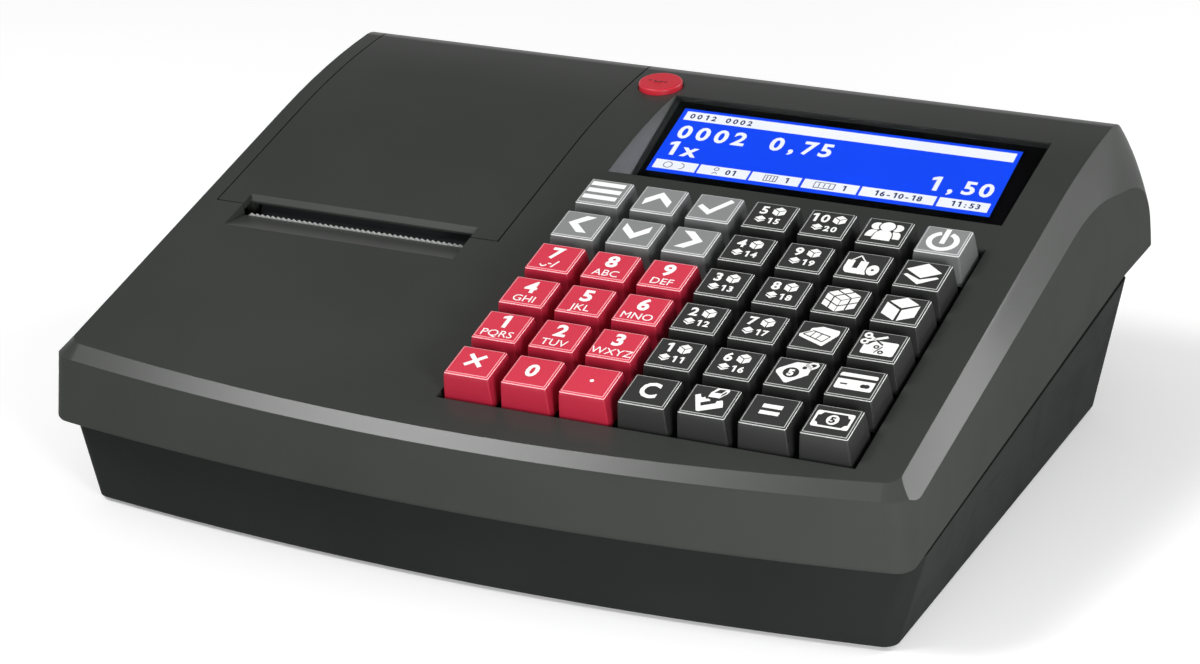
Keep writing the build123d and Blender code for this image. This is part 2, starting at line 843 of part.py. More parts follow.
def make_key():
    height = key_top_height + key_skirt_drop
    top = RectangleRounded(key_top_width, key_top_depth, key_corner_radius)
    skirt = RectangleRounded(key_skirt_width, key_skirt_width, key_corner_radius)
    cap = loft([Pos(0, 0, -key_skirt_drop) * skirt, Pos(0, 0, key_top_height) * top], ruled=True)
    cap = chamfer(cap.faces().sort_by(Axis.Z)[-1].edges(), key_edge)
    ceiling = key_top_height - key_top_thickness
    share = (ceiling + key_skirt_drop) / height
    inner_low = key_skirt_width - 2 * key_wall
    inner_width = key_skirt_width + share * (key_top_width - key_skirt_width) - 2 * key_wall
    inner_depth = key_skirt_width + share * (key_top_depth - key_skirt_width) - 2 * key_wall
    hollow = loft(
        [Pos(0, 0, -key_skirt_drop) * Rectangle(inner_low, inner_low),
         Pos(0, 0, ceiling) * Rectangle(inner_width, inner_depth)],
        ruled=True,
    )
    stem = Pos(0, 0, -stem_length_below_deck) * Cylinder(
        stem_radius, stem_length_below_deck + ceiling + key_top_thickness / 2,
        align=(Align.CENTER, Align.CENTER, Align.MIN),
    )
    return cap - hollow + stem


def make_switch():
    body = Pos(0, 0, -board_top_drop) * Box(
        switch_width, switch_width, switch_height, align=(Align.CENTER, Align.CENTER, Align.MIN)
    )
    bore = Pos(0, 0, -board_top_drop + bore_end_thickness) * Cylinder(
        stem_radius + stem_clearance, switch_height, align=(Align.CENTER, Align.CENTER, Align.MIN)
    )
    return body - bore


# ---- display
def make_window():
    pane = display_recess(-window_thickness, 0, -window_gap)
    return pane


def make_lcd():
    top = -window_thickness
    cell = glass * slab(
        around(0, lcd_cell_width / 2),
        around(lcd_cell_centre, lcd_cell_length / 2),
        (top - window_ledge, top),
    )
    frame_centre = display_length / 2
    frame = glass * slab(
        around(0, lcd_frame_width / 2),
        around(frame_centre, lcd_frame_length / 2),
        (top - window_ledge - lcd_frame_thickness, top - window_ledge),
    )
    return [cell, frame]


# ---- paper feed button
def make_button():
    cap = Pos(0, 0, -button_skirt + button_travel) * Cylinder(
        button_radius, button_skirt - button_travel + button_proud,
        align=(Align.CENTER, Align.CENTER, Align.MIN),
    )
    cap = fillet(cap.edges().group_by(Axis.Z)[-1], button_edge_radius)
    stem_end = -button_board_drop + button_switch_width / 2 + button_travel + button_gap
    stem = Pos(0, 0, stem_end) * Cylinder(
        button_stem_radius, -stem_end, align=(Align.CENTER, Align.CENTER, Align.MIN)
    )
    return button_plane * (cap + stem)


def make_button_switch():
    return button_plane * Pos(0, 0, -button_board_drop) * Box(
        button_switch_width, button_switch_width, button_switch_width / 2,
        align=(Align.CENTER, Align.CENTER, Align.MIN),
    )


# ---- printer
def make_cover():
    cover = across(in_front_of_hinge(0, cover_thickness), printer_x - cover_half, printer_x + cover_half)
    cover += rod(hinge_barrel_radius, printer_x - cover_half, printer_x + cover_half, hinge_axis)
    cover -= rod(
        hinge_pin_radius + hinge_running_gap, printer_x - cover_half, printer_x + cover_half, hinge_axis
    )
    notch = filled([
        deck_side(cover_v - overcut, overcut),
        deck_side(cover_v + notch_depth + notch_bevel, overcut),
        deck_side(cover_v + notch_depth + notch_bevel, 0),
        deck_side(cover_v + notch_depth, -notch_bevel),
        deck_side(cover_v + notch_depth, -cover_thickness - overcut),
        deck_side(cover_v - overcut, -cover_thickness - overcut),
    ])
    cover -= across(notch, *around(printer_x, mouth_width / 2))
    for side in (-1, 1):
        ear_face = filled([
            deck_side(platen_v - ear_width / 2, -cover_thickness / 2),
            deck_side(platen_v + ear_width / 2, -cover_thickness / 2),
            deck_side(platen_v + ear_width / 2, -platen_drop - ear_width / 2),
            deck_side(platen_v - ear_width / 2, -platen_drop - ear_width / 2),
        ])
        low = printer_x + side * ear_inner
        high = printer_x + side * ear_outer
        cover += across(ear_face, min(low, high), max(low, high))
    cover -= rod(
        platen_shaft_radius + hinge_running_gap,
        printer_x - ear_outer, printer_x + ear_outer, platen_axis,
    )
    return cover


def make_hinge_pin():
    reach = cover_half + cover_gap + hinge_boss_length
    return rod(hinge_pin_radius, printer_x - reach, printer_x + reach, hinge_axis)


def gear_face(teeth, start_angle):
    # straight-sided teeth with backlash, one tooth centred on the start angle
    pitch_radius = gear_module * teeth / 2
    outer = pitch_radius + tooth_addendum * gear_module
    root = pitch_radius - tooth_dedendum * gear_module
    tooth_angle = 360 / teeth
    half_tip = tooth_tip_share / 2 * tooth_angle
    half_root = tooth_root_share / 2 * tooth_angle
    points = []
    for tooth in range(teeth):
        middle = start_angle + tooth * tooth_angle
        points.append(polar((0, 0), root, middle - half_root))
        points.append(polar((0, 0), outer, middle - half_tip))
        points.append(polar((0, 0), outer, middle + half_tip))
        points.append(polar((0, 0), root, middle + half_root))
    return filled(points)


def make_platen():
    roller = rod(platen_radius, *around(printer_x, platen_length / 2), platen_axis)
    shaft = rod(
        platen_shaft_radius, printer_x - ear_outer - shaft_end, printer_x + gear_high, platen_axis
    )
    gear = across(
        Pos(*platen_axis) * gear_face(platen_teeth, 180 / platen_teeth),
        printer_x + gear_low, printer_x + gear_high,
    )
    return roller + shaft + gear


def make_pinion():
    gear = across(
        Pos(*pinion_axis) * gear_face(pinion_teeth, 0), printer_x + gear_low, printer_x + gear_high
    )
    shaft = rod(motor_shaft_radius, printer_x + gear_low, motor_face + motor_length / 2, pinion_axis)
    return gear + shaft


def make_motor():
    body = rod(motor_radius, motor_face, motor_face + motor_length, pinion_axis)
    return body - rod(
        motor_shaft_radius + hinge_running_gap,
        motor_face, motor_face + motor_length / 2 + overcut, pinion_axis,
    )


def make_head():
    top = platen_axis[1] - platen_radius - head_gap
    x_range = around(printer_x, head_width / 2)
    rear = bucket_front_y
    step = top - head_strip_thickness
    block = slab(x_range, (rear - head_length, rear), (top - head_thickness, step))
    strip = slab(x_range, around(platen_axis[0], head_strip_length / 2), (step, top))
    return block + strip


def make_bucket():
    low = printer_x - bucket_width / 2
    high = printer_x + bucket_width / 2
    ledge_bottom = cover_thickness + cover_ledge_gap + cover_ledge_thickness + bucket_top_gap
    room = roof_face(ledge_bottom)
    tall = case_depth

    def tub_face(inset):
        face = filled([
            (bucket_front_y + inset, bucket_floor_height + inset),
            (bucket_rear_y - inset, bucket_floor_height + inset),
            (bucket_rear_y - inset, tall),
            (bucket_front_y + inset, tall),
        ])
        return fillet(face.vertices().sort_by(Axis.Y)[:2], bucket_floor_radius - inset)

    tub = across(tub_face(0) & room, low, high)
    tub -= across(tub_face(bucket_wall), low + bucket_wall, high - bucket_wall)
    paper_edge = platen_axis[1] - platen_radius - head_gap
    tub -= slab(
        (low + bucket_wall, high - bucket_wall),
        (bucket_front_y - overcut, bucket_front_y + bucket_wall + overcut),
        (paper_edge, tall),
    )
    cheek_face = filled([
        (platen_axis[0] - cheek_run, platen_axis[1] - cheek_depth),
        (bucket_front_y + bucket_floor_radius, platen_axis[1] - cheek_depth),
        (bucket_front_y + bucket_floor_radius, tall),
        (platen_axis[0] - cheek_run, tall),
    ]) & room
    tub += across(cheek_face, low, low + bucket_wall)
    tub += across(cheek_face, high - bucket_wall, high)
    hole_radius = gear_module * pinion_teeth / 2 + pinion_hole_gap
    tub -= rod(hole_radius, high - bucket_wall - overcut, high, pinion_axis)
    return tub


def make_tear_bar():
    start = mouth_v + mouth_length
    bottom = -mouth_depth - tear_bar_height
    teeth = round(tear_bar_width / tooth_pitch)
    step = tear_bar_width / teeth
    points = [(-tear_bar_width / 2, bottom), (-tear_bar_width / 2, -mouth_depth)]
    for tooth in range(teeth):
        left = -tear_bar_width / 2 + tooth * step
        points.append((left + step / 2, -mouth_depth + tooth_height))
        points.append((left + step, -mouth_depth))
    points.append((tear_bar_width / 2, bottom))
    upright = Plane(
        origin=deck.from_local_coords(Vector(printer_x, start + tear_bar_thickness, 0)),
        x_dir=(1, 0, 0),
        z_dir=(0, -slope_cos, -slope_sin),
    )
    return extrude(upright * filled(points), amount=tear_bar_thickness)


# ---- boards and sockets
def make_boards():
    keyboard_board = deck_block(
        around(keyboard_x, opening_half_width + board_overlap),
        around(keyboard_v, opening_half_depth + board_overlap),
        (-board_top_drop - board_thickness, -board_top_drop),
    )
    main_board = slab(
        (main_board_left, main_board_right),
        (main_board_front, main_board_rear),
        (main_board_height, board_top),
    )
    for (width, length, height), (x, y) in (processor, memory, header):
        left = main_board_left + x
        front = main_board_front + y
        main_board += slab(
            (left, left + width), (front, front + length), (board_top, board_top + height)
        )
    small_board = button_plane * slab(
        around(0, button_board_width / 2),
        around(0, button_board_length / 2),
        (-button_board_drop - board_thickness, -button_board_drop),
    )
    return [keyboard_board, main_board, small_board]


def make_sockets():
    y_range = (socket_face_y - socket_depth, socket_face_y)
    solids = []
    for x, size, hole in (
        (network_x, network_size, network_hole),
        (drawer_x, drawer_size, drawer_hole),
    ):
        body = slab(around(x, size[0] / 2), y_range, (board_top, board_top + size[1]))
        middle = board_top + size[1] / 2
        body -= slab(
            around(x, hole[0] / 2),
            (socket_face_y - socket_hole_depth, socket_face_y),
            around(middle, hole[1] / 2),
        )
        solids.append(body)
    width, height = power_size
    jack = slab(around(power_x, width / 2), y_range, (board_top, board_top + height))
    centre = Pos(power_x, socket_face_y - socket_hole_depth, board_top + height / 2) * Rot(-90, 0, 0)
    jack -= centre * Cylinder(
        power_hole_radius, socket_hole_depth, align=(Align.CENTER, Align.CENTER, Align.MIN)
    )
    jack += centre * Cylinder(
        power_pin_radius, socket_hole_depth - power_pin_drop,
        align=(Align.CENTER, Align.CENTER, Align.MIN),
    )
    solids.append(jack)
    return solids


key_names = [
    "menu", "up", "check", "item_05", "item_10", "clerks", "power",
    "left", "down", "right", "item_04", "item_09", "bag", "layers",
    "digit_7", "digit_8", "digit_9", "item_03", "item_08", "cube_grid", "cube",
    "digit_4", "digit_5", "digit_6", "item_02", "item_07", "tray", "discount",
    "digit_1", "digit_2", "digit_3", "item_01", "item_06", "tag", "card",
    "multiply", "digit_0", "point", "clear", "void", "equals", "cash",
]

pieces = {
    "upper_case": make_upper_case(),
    "lower_case": make_lower_case(),
    "rubber_feet": Compound(children=make_feet()),
    "case_screws": Compound(children=make_screws()),
    "display_window": make_window(),
    "lcd_module": Compound(children=make_lcd()),
    "feed_button": make_button(),
    "printer_cover": make_cover(),
    "cover_hinge_pin": make_hinge_pin(),
    "platen_roller": make_platen(),
    "drive_pinion": make_pinion(),
    "feed_motor": make_motor(),
    "print_head": make_head(),
    "paper_bucket": make_bucket(),
    "tear_bar": make_tear_bar(),
    "circuit_boards": Compound(children=make_boards()),
    "rear_sockets": Compound(children=make_sockets()),
}
key = make_key()
switch = make_switch()
switches = [make_button_switch()]
for name, (x, v) in zip(key_names, key_places()):
    pieces["key_" + name] = deck * Pos(x, v, 0) * key
    switches.append(deck * Pos(x, v, 0) * switch)
pieces["key_switches"] = Compound(children=switches)

os.makedirs("parts", exist_ok=True)
for name, piece in pieces.items():
    export_step(piece, "parts/" + name + ".step")
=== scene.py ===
import math

import bmesh
import bpy
from mathutils import Matrix, Vector


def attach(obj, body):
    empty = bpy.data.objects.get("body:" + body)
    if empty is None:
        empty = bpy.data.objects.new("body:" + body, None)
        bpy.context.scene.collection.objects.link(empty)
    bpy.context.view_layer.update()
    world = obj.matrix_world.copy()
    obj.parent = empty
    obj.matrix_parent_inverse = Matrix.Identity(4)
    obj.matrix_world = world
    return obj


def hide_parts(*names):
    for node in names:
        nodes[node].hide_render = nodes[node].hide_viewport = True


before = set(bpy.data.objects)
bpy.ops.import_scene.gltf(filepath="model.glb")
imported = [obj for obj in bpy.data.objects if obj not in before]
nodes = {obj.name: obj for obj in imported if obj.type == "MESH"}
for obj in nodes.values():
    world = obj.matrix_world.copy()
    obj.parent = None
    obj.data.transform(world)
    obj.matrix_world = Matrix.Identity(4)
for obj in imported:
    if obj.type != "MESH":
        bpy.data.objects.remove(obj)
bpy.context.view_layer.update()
print("frame loaded,", len(nodes), "nodes")


def paint(code):
    # a web colour as the linear values that Blender wants
    values = []
    for start in (1, 3, 5):
        part = int(code[start:start + 2], 16) / 255
        values.append(part / 12.92 if part <= 0.04045 else ((part + 0.055) / 1.055) ** 2.4)
    return (*values, 1.0)


def newGroup(name, inputs, outputs):
    group = bpy.data.node_groups.new(name, "ShaderNodeTree")
    for label, kind, value in inputs:
        socket = group.interface.new_socket(name=label, in_out="INPUT", socket_type=kind)
        socket.default_value = value
    for label, kind in outputs:
        group.interface.new_socket(name=label, in_out="OUTPUT", socket_type=kind)
    return group, group.nodes.new("NodeGroupInput"), group.nodes.new("NodeGroupOutput")


def placeGroup(tree, group, values=()):
    node = tree.nodes.new("ShaderNodeGroup")
    node.node_tree = group
    for label, value in values:
        node.inputs[label].default_value = value
    return node


def addNode(tree, kind, values=(), **settings):
    node = tree.nodes.new("ShaderNode" + kind)
    for label, value in settings.items():
        setattr(node, label, value)
    for label, value in values:
        node.inputs[label].default_value = value
    return node


mixSockets = {"factor": 0, "first": 6, "second": 7, "result": 2}   # of a mix node set to colours


def mixColors(tree, factor, first, second):
    # factor is a socket, first and second are sockets or plain colours
    mix = addNode(tree, "Mix", data_type="RGBA")
    for label, value in (("factor", factor), ("first", first), ("second", second)):
        socket = mix.inputs[mixSockets[label]]
        if isinstance(value, bpy.types.NodeSocket):
            tree.links.new(value, socket)
        else:
            socket.default_value = value
    return mix.outputs[mixSockets["result"]]


def ranged(tree, value, band, newBand=(0, 1)):
    # maps the band of values onto the new band, and clamps what lies outside
    node = addNode(tree, "MapRange", [
        ("From Min", band[0]), ("From Max", band[1]), ("To Min", newBand[0]), ("To Max", newBand[1])])
    tree.links.new(value, node.inputs["Value"])
    return node.outputs[0]


def scaled(tree, value, amount):
    node = addNode(tree, "Math", [(1, amount)], operation="MULTIPLY")
    tree.links.new(value, node.inputs[0])
    return node.outputs[0]


def larger(tree, first, second):
    node = addNode(tree, "Math", operation="MAXIMUM")
    tree.links.new(first, node.inputs[0])
    tree.links.new(second, node.inputs[1])
    return node.outputs[0]


usualLook = {      # what a finish has where it doesn't say otherwise
    "grainScale": 4200.0, "driftScale": 18.0, "smearScale": 40.0, "scratchScale": 350.0,
    "speckle": 0.2, "wear": 0.2, "scratch": 0.05, "bump": 0.25, "depth": 0.00004, "edgeRadius": 0.0004,
    "metallic": 0.0, "specular": 0.5, "coatRoughness": 0.3,
}
effects = {
    "grainDetail": 2.0, "grainRoughness": 0.6, "grainShare": 0.6,
    "driftDetail": 3.0, "driftRoughness": 0.5, "noiseBand": (0.35, 0.65),
    "edgeSamples": 4, "edgeBand": (0.99, 0.8),        # cosine of the turn between the two normals
    "smearDetail": 4.0, "smearWarp": 1.2, "smearBand": (0.45, 0.7),
    "scratchDetail": 1.0, "scratchBand": (0.66, 0.72),
    "scratchTurn": (0.0, 0.3, 0.6), "scratchStretch": (1.0, 0.06, 0.4),
    "uprightBand": (0.4, 0.15), "rearBand": (0.1, 0.3),     # the normal's Z and Y
}


def buildGrain():
    # the fine spark-eroded texture of a mould, and a slow drift of tone over the moulding
    group, start, end = newGroup(
        "mouldGrain",
        [("Grain Scale", "NodeSocketFloat", usualLook["grainScale"]),
         ("Drift Scale", "NodeSocketFloat", usualLook["driftScale"])],
        [("Height", "NodeSocketFloat"), ("Speckle", "NodeSocketFloat"), ("Drift", "NodeSocketFloat")],
    )
    link = group.links.new
    place = addNode(group, "TexCoord").outputs["Object"]
    fine = addNode(group, "TexNoise", [
        ("Detail", effects["grainDetail"]), ("Roughness", effects["grainRoughness"])])
    cells = addNode(group, "TexVoronoi", feature="SMOOTH_F1")
    slow = addNode(group, "TexNoise", [
        ("Detail", effects["driftDetail"]), ("Roughness", effects["driftRoughness"])])
    for node, label in ((fine, "Grain Scale"), (cells, "Grain Scale"), (slow, "Drift Scale")):
        link(place, node.inputs["Vector"])
        link(start.outputs[label], node.inputs["Scale"])
    height = addNode(group, "Math", [(1, effects["grainShare"])], operation="MULTIPLY_ADD")
    link(fine.outputs[0], height.inputs[0])
    link(cells.outputs["Distance"], height.inputs[2])
    link(height.outputs[0], end.inputs["Height"])
    link(ranged(group, fine.outputs[0], effects["noiseBand"]), end.inputs["Speckle"])
    link(ranged(group, slow.outputs[0], effects["noiseBand"]), end.inputs["Drift"])
    return group


def buildEdges():
    # where the moulding turns a corner: a softened normal and a mask for handling wear
    group, start, end = newGroup(
        "roundedEdges",
        [("Radius", "NodeSocketFloat", usualLook["edgeRadius"])],
        [("Normal", "NodeSocketVector"), ("Edge", "NodeSocketFloat")],
    )
    link = group.links.new
    soft = addNode(group, "Bevel", samples=effects["edgeSamples"])
    sharp = addNode(group, "NewGeometry")
    turn = addNode(group, "VectorMath", operation="DOT_PRODUCT")
    link(start.outputs["Radius"], soft.inputs["Radius"])
    link(soft.outputs[0], turn.inputs[0])
    link(sharp.outputs["Normal"], turn.inputs[1])
    link(soft.outputs[0], end.inputs["Normal"])
    link(ranged(group, turn.outputs["Value"], effects["edgeBand"]), end.inputs["Edge"])
    return group


def buildHandling():
    # faint smears and hair scratches from hands and cloths
    group, start, end = newGroup(
        "handling",
        [("Smear Scale", "NodeSocketFloat", usualLook["smearScale"]),
         ("Scratch Scale", "NodeSocketFloat", usualLook["scratchScale"])],
        [("Smear", "NodeSocketFloat"), ("Scratch", "NodeSocketFloat")],
    )
    link = group.links.new
    place = addNode(group, "TexCoord").outputs["Object"]
    smear = addNode(group, "TexNoise", [
        ("Detail", effects["smearDetail"]), ("Distortion", effects["smearWarp"])])
    stretch = addNode(group, "Mapping", [
        ("Rotation", effects["scratchTurn"]), ("Scale", effects["scratchStretch"])])
    scratch = addNode(group, "TexNoise", [("Detail", effects["scratchDetail"])])
    link(place, smear.inputs["Vector"])
    link(start.outputs["Smear Scale"], smear.inputs["Scale"])
    link(place, stretch.inputs["Vector"])
    link(stretch.outputs[0], scratch.inputs["Vector"])
    link(start.outputs["Scratch Scale"], scratch.inputs["Scale"])
    link(ranged(group, smear.outputs[0], effects["smearBand"]), end.inputs["Smear"])
    link(ranged(group, scratch.outputs[0], effects["scratchBand"]), end.inputs["Scratch"])
    return group


def buildSides():
    # where a face stands upright or looks to the rear
    group, start, end = newGroup("sideWalls", [], [("Side", "NodeSocketFloat")])
    group.nodes.remove(start)
    axes = addNode(group, "SeparateXYZ")
    group.links.new(addNode(group, "TexCoord").outputs["Normal"], axes.inputs[0])
    upright = ranged(group, axes.outputs["Z"], effects["uprightBand"])
    rear = ranged(group, axes.outputs["Y"], effects["rearBand"])
    group.links.new(larger(group, upright, rear), end.inputs["Side"])
    return group


grainGroup = buildGrain()
sideGroup = buildSides()
edgeGroup = buildEdges()
handlingGroup = buildHandling()


def startMaterial(name):
    material = bpy.data.materials.new(name)
    material.use_nodes = True
    return material, material.node_tree, material.node_tree.nodes["Principled BSDF"]


def newMaterial(name, changes):
    # every moulded, pressed or turned finish starts here
    look = {**usualLook, **changes}
    material, tree, shader = startMaterial(name)
    link = tree.links.new
    grain = placeGroup(tree, grainGroup, [
        ("Grain Scale", look["grainScale"]), ("Drift Scale", look["driftScale"])])
    edges = placeGroup(tree, edgeGroup, [("Radius", look["edgeRadius"])])
    hands = placeGroup(tree, handlingGroup, [
        ("Smear Scale", look["smearScale"]), ("Scratch Scale", look["scratchScale"])])
    color = mixColors(tree, grain.outputs["Drift"], paint(look["color"]), paint(look["driftColor"]))
    speck = scaled(tree, grain.outputs["Speckle"], look["speckle"])
    color = mixColors(tree, speck, color, paint(look["speckColor"]))
    worn = scaled(tree, edges.outputs["Edge"], look["wear"])
    color = mixColors(tree, worn, color, paint(look["wornColor"]))
    # keycaps' upright and rear-facing faces take a darker colour here: painted shade
    if "paintedSideShade" in look:
        side = placeGroup(tree, sideGroup).outputs["Side"]
        color = mixColors(tree, side, color, paint(look["paintedSideShade"]))
    link(color, shader.inputs["Base Color"])
    rough = ranged(tree, hands.outputs["Smear"], (0, 1), (look["roughness"], look["smearRoughness"]))
    scratched = addNode(tree, "Math", [(1, look["scratch"])], operation="MULTIPLY_ADD")
    link(hands.outputs["Scratch"], scratched.inputs[0])
    link(rough, scratched.inputs[2])
    link(scratched.outputs[0], shader.inputs["Roughness"])
    bump = addNode(tree, "Bump", [("Strength", look["bump"]), ("Distance", look["depth"])])
    link(grain.outputs["Height"], bump.inputs["Height"])
    link(edges.outputs["Normal"], bump.inputs["Normal"])
    link(bump.outputs[0], shader.inputs["Normal"])
    shader.inputs["Metallic"].default_value = look["metallic"]
    shader.inputs["Specular IOR Level"].default_value = look["specular"]
    shader.inputs["Coat Roughness"].default_value = look["coatRoughness"]
    if "coat" in look:
        # the mould is polished, but for its side walls
        side = placeGroup(tree, sideGroup).outputs["Side"]
        gloss = ranged(tree, side, (0, 1), (look["coat"], look.get("sideCoat", look["coat"])))
        link(gloss, shader.inputs["Coat Weight"])
    material.diffuse_color = paint(look["color"])
    return material


shellGloss = {
    "roughness": 0.5, "specular": 0.01, "coat": 0.75, "sideCoat": 0.05, "coatRoughness": 0.28,
    "bump": 0.12, "edgeRadius": 0.0006,
}
keyGloss = {
    "roughness": 0.4, "smearRoughness": 0.46, "edgeRadius": 0.0002, "specular": 0.2, "coat": 0.25,
}
keyGrain = {"speckle": 0.3, "bump": 0.25, "depth": 0.00003, "grainScale": 3600.0}
edgeGloss = {"roughness": 0.2, "smearRoughness": 0.28, "bump": 0.1, "edgeRadius": 0.00005, "coat": 1.0}
finishes = {
    "casePlastic": {
        **shellGloss, "color": "#353735", "driftColor": "#393b39", "speckColor": "#414340",
        "wornColor": "#4c4e4b", "smearRoughness": 0.56,
    },
    "coverPlastic": {
        **shellGloss, "color": "#343634", "driftColor": "#383a38", "speckColor": "#40423f",
        "wornColor": "#4c4e4b", "smearRoughness": 0.57,
    },
    "basePlastic": {
        "color": "#232524", "driftColor": "#262827", "speckColor": "#2c2e2d", "wornColor": "#3a3c3a",
        "roughness": 0.55, "smearRoughness": 0.62, "specular": 0.02,
        "bump": 0.2, "depth": 0.00006, "grainScale": 3200.0,
    },
    "footRubber": {
        "color": "#141414", "driftColor": "#1a1a1a", "speckColor": "#262626", "wornColor": "#2c2c2c",
        "roughness": 0.8, "smearRoughness": 0.9, "specular": 0.25, "bump": 0.5, "grainScale": 1800.0,
    },
    "screwSteel": {
        "color": "#9a9c9e", "driftColor": "#8b8d90", "speckColor": "#b5b7b8", "wornColor": "#c8c8c8",
        "roughness": 0.35, "smearRoughness": 0.45, "metallic": 1.0, "edgeRadius": 0.0001, "scratch": 0.15,
    },
    "pinSteel": {
        "color": "#a5a6a8", "driftColor": "#97999b", "speckColor": "#bcbdbe", "wornColor": "#d0d0d0",
        "roughness": 0.28, "smearRoughness": 0.36, "metallic": 1.0, "edgeRadius": 0.0001, "scratch": 0.15,
    },
    "tearSteel": {
        "color": "#c9cac8", "driftColor": "#bdbebc", "speckColor": "#d8d8d6", "wornColor": "#ebebeb",
        "roughness": 0.3, "smearRoughness": 0.4, "metallic": 0.35, "edgeRadius": 0.00005, "scratch": 0.15,
    },
    "motorSteel": {
        "color": "#8f9192", "driftColor": "#838586", "speckColor": "#a5a6a7", "wornColor": "#c0c0c0",
        "roughness": 0.4, "smearRoughness": 0.5, "metallic": 1.0, "scratch": 0.1,
    },
    "headAluminium": {
        "color": "#b2b4b6", "driftColor": "#a8aaac", "speckColor": "#c6c7c8", "wornColor": "#d8d8d8",
        "roughness": 0.38, "smearRoughness": 0.48, "metallic": 1.0, "scratch": 0.1,
    },
    "buttonPlastic": {
        "color": "#c61f31", "driftColor": "#c92435", "speckColor": "#d23545", "wornColor": "#e0606a",
        "roughness": 0.36, "smearRoughness": 0.42, "speckle": 0.15, "wear": 0.3, "bump": 0.12,
        "edgeRadius": 0.0003,
    },
    "platenRubber": {
        "color": "#26282a", "driftColor": "#2b2d2f", "speckColor": "#3a3c3e", "wornColor": "#404244",
        "roughness": 0.7, "smearRoughness": 0.8, "specular": 0.3, "bump": 0.3, "grainScale": 2400.0,
    },
    "pinionPlastic": {
        "color": "#d9d6cc", "driftColor": "#d2cfc4", "speckColor": "#e4e1d8", "wornColor": "#eeece6",
        "roughness": 0.4, "smearRoughness": 0.5, "bump": 0.15, "edgeRadius": 0.0001,
    },
    "bucketPlastic": {
        "color": "#202221", "driftColor": "#242625", "speckColor": "#303231", "wornColor": "#484a48",
        "roughness": 0.5, "smearRoughness": 0.58, "specular": 0.3, "bump": 0.3,
    },
    "boardLaminate": {
        "color": "#1c5a34", "driftColor": "#206239", "speckColor": "#2c7346", "wornColor": "#7d8a52",
        "roughness": 0.35, "smearRoughness": 0.45, "speckle": 0.3, "bump": 0.2, "grainScale": 1500.0,
        "edgeRadius": 0.0001,
    },
    "socketPlastic": {
        "color": "#161718", "driftColor": "#1b1c1d", "speckColor": "#292a2b", "wornColor": "#3a3b3c",
        "roughness": 0.38, "smearRoughness": 0.46, "bump": 0.2, "edgeRadius": 0.0002,
    },
    "switchPlastic": {
        "color": "#1d1e20", "driftColor": "#222325", "speckColor": "#303133", "wornColor": "#444547",
        "roughness": 0.42, "smearRoughness": 0.5, "bump": 0.2, "edgeRadius": 0.0002,
    },
    "displayMetal": {
        "color": "#4c4e50", "driftColor": "#444648", "speckColor": "#5a5c5e", "wornColor": "#7a7c7e",
        "roughness": 0.45, "smearRoughness": 0.55, "metallic": 1.0,
    },
    # the side colours below darken the keys' upright and rear-facing faces: painted shade
    "redKeyPlastic": {
        **keyGloss, "color": "#d2334a", "driftColor": "#cc3046", "speckColor": "#dc4c5c",
        "wornColor": "#d9606c", "paintedSideShade": "#a92338",
        "speckle": 0.35, "bump": 0.3, "depth": 0.00004, "grainScale": 2600.0,
    },
    "greyKeyPlastic": {
        **keyGloss, **keyGrain, "color": "#868888", "driftColor": "#828484", "speckColor": "#939595",
        "wornColor": "#a4a6a6", "paintedSideShade": "#666868",
    },
    "darkKeyPlastic": {
        **keyGloss, **keyGrain, "color": "#303130", "driftColor": "#333433", "speckColor": "#3d3e3d",
        "wornColor": "#505250", "paintedSideShade": "#2a2b2a",
    },
    # light colours for the thin bevels round the key tops: painted highlight
    "redKeyHighlight": {
        **edgeGloss, "color": "#f8b0b6", "driftColor": "#f4a6ad",
        "speckColor": "#fabec3", "wornColor": "#fbcdd1",
    },
    "greyKeyHighlight": {
        **edgeGloss, "color": "#d6d8d8", "driftColor": "#ced0d0",
        "speckColor": "#dee0e0", "wornColor": "#e4e6e6",
    },
    "darkKeyHighlight": {
        **edgeGloss, "color": "#bec0be", "driftColor": "#b6b8b6",
        "speckColor": "#c8cac8", "wornColor": "#d2d4d2",
    },
    "legendInk": {
        "color": "#fbfcfa", "driftColor": "#f6f7f5", "speckColor": "#f0f1ef", "wornColor": "#ffffff",
        "roughness": 0.5, "smearRoughness": 0.58, "speckle": 0.3, "wear": 0.1, "bump": 0.2,
        "grainScale": 5000.0, "edgeRadius": 0.00003,
    },
    "darkInk": {
        "color": "#4a0f16", "driftColor": "#430d13", "speckColor": "#5a161e", "wornColor": "#5a161e",
        "roughness": 0.5, "smearRoughness": 0.55, "bump": 0.2, "grainScale": 5000.0, "edgeRadius": 0.00003,
    },
    "maskInk": {
        "color": "#040405", "driftColor": "#060607", "speckColor": "#09090a", "wornColor": "#09090a",
        "roughness": 0.6, "smearRoughness": 0.7, "speckle": 0.1, "wear": 0.0, "specular": 0.05,
    },
}
finish = {name: newMaterial(name, look) for name, look in finishes.items()}
print("finishes ready:", len(finish))

glassLook = {
    "color": "#f0f2f4", "driftColor": "#f6f7f8", "grainScale": 900.0, "driftScale": 30.0,
    "roughness": (0.01, 0.03), "transmission": 1.0, "bending": 1.06, "specular": 0.3,
}
glassTilt = 18.6      # of the display, in degrees from level
cellLook = {
    "dots": 2000.0, "line": 0.06, "lineBlur": 0.3,      # dots in a metre, and the line between two
    "base": "#04060a", "roughness": 0.5, "specular": 0.1,
}
cellColors = {      # dot, line between the dots, strength
    "litBlue": ("#124bff", "#0c40e4", 1.08),
    "litWhite": ("#fafbff", "#e2e9ff", 1.1),
    "litNavy": ("#26346e", "#1e2b60", 1.0),
}


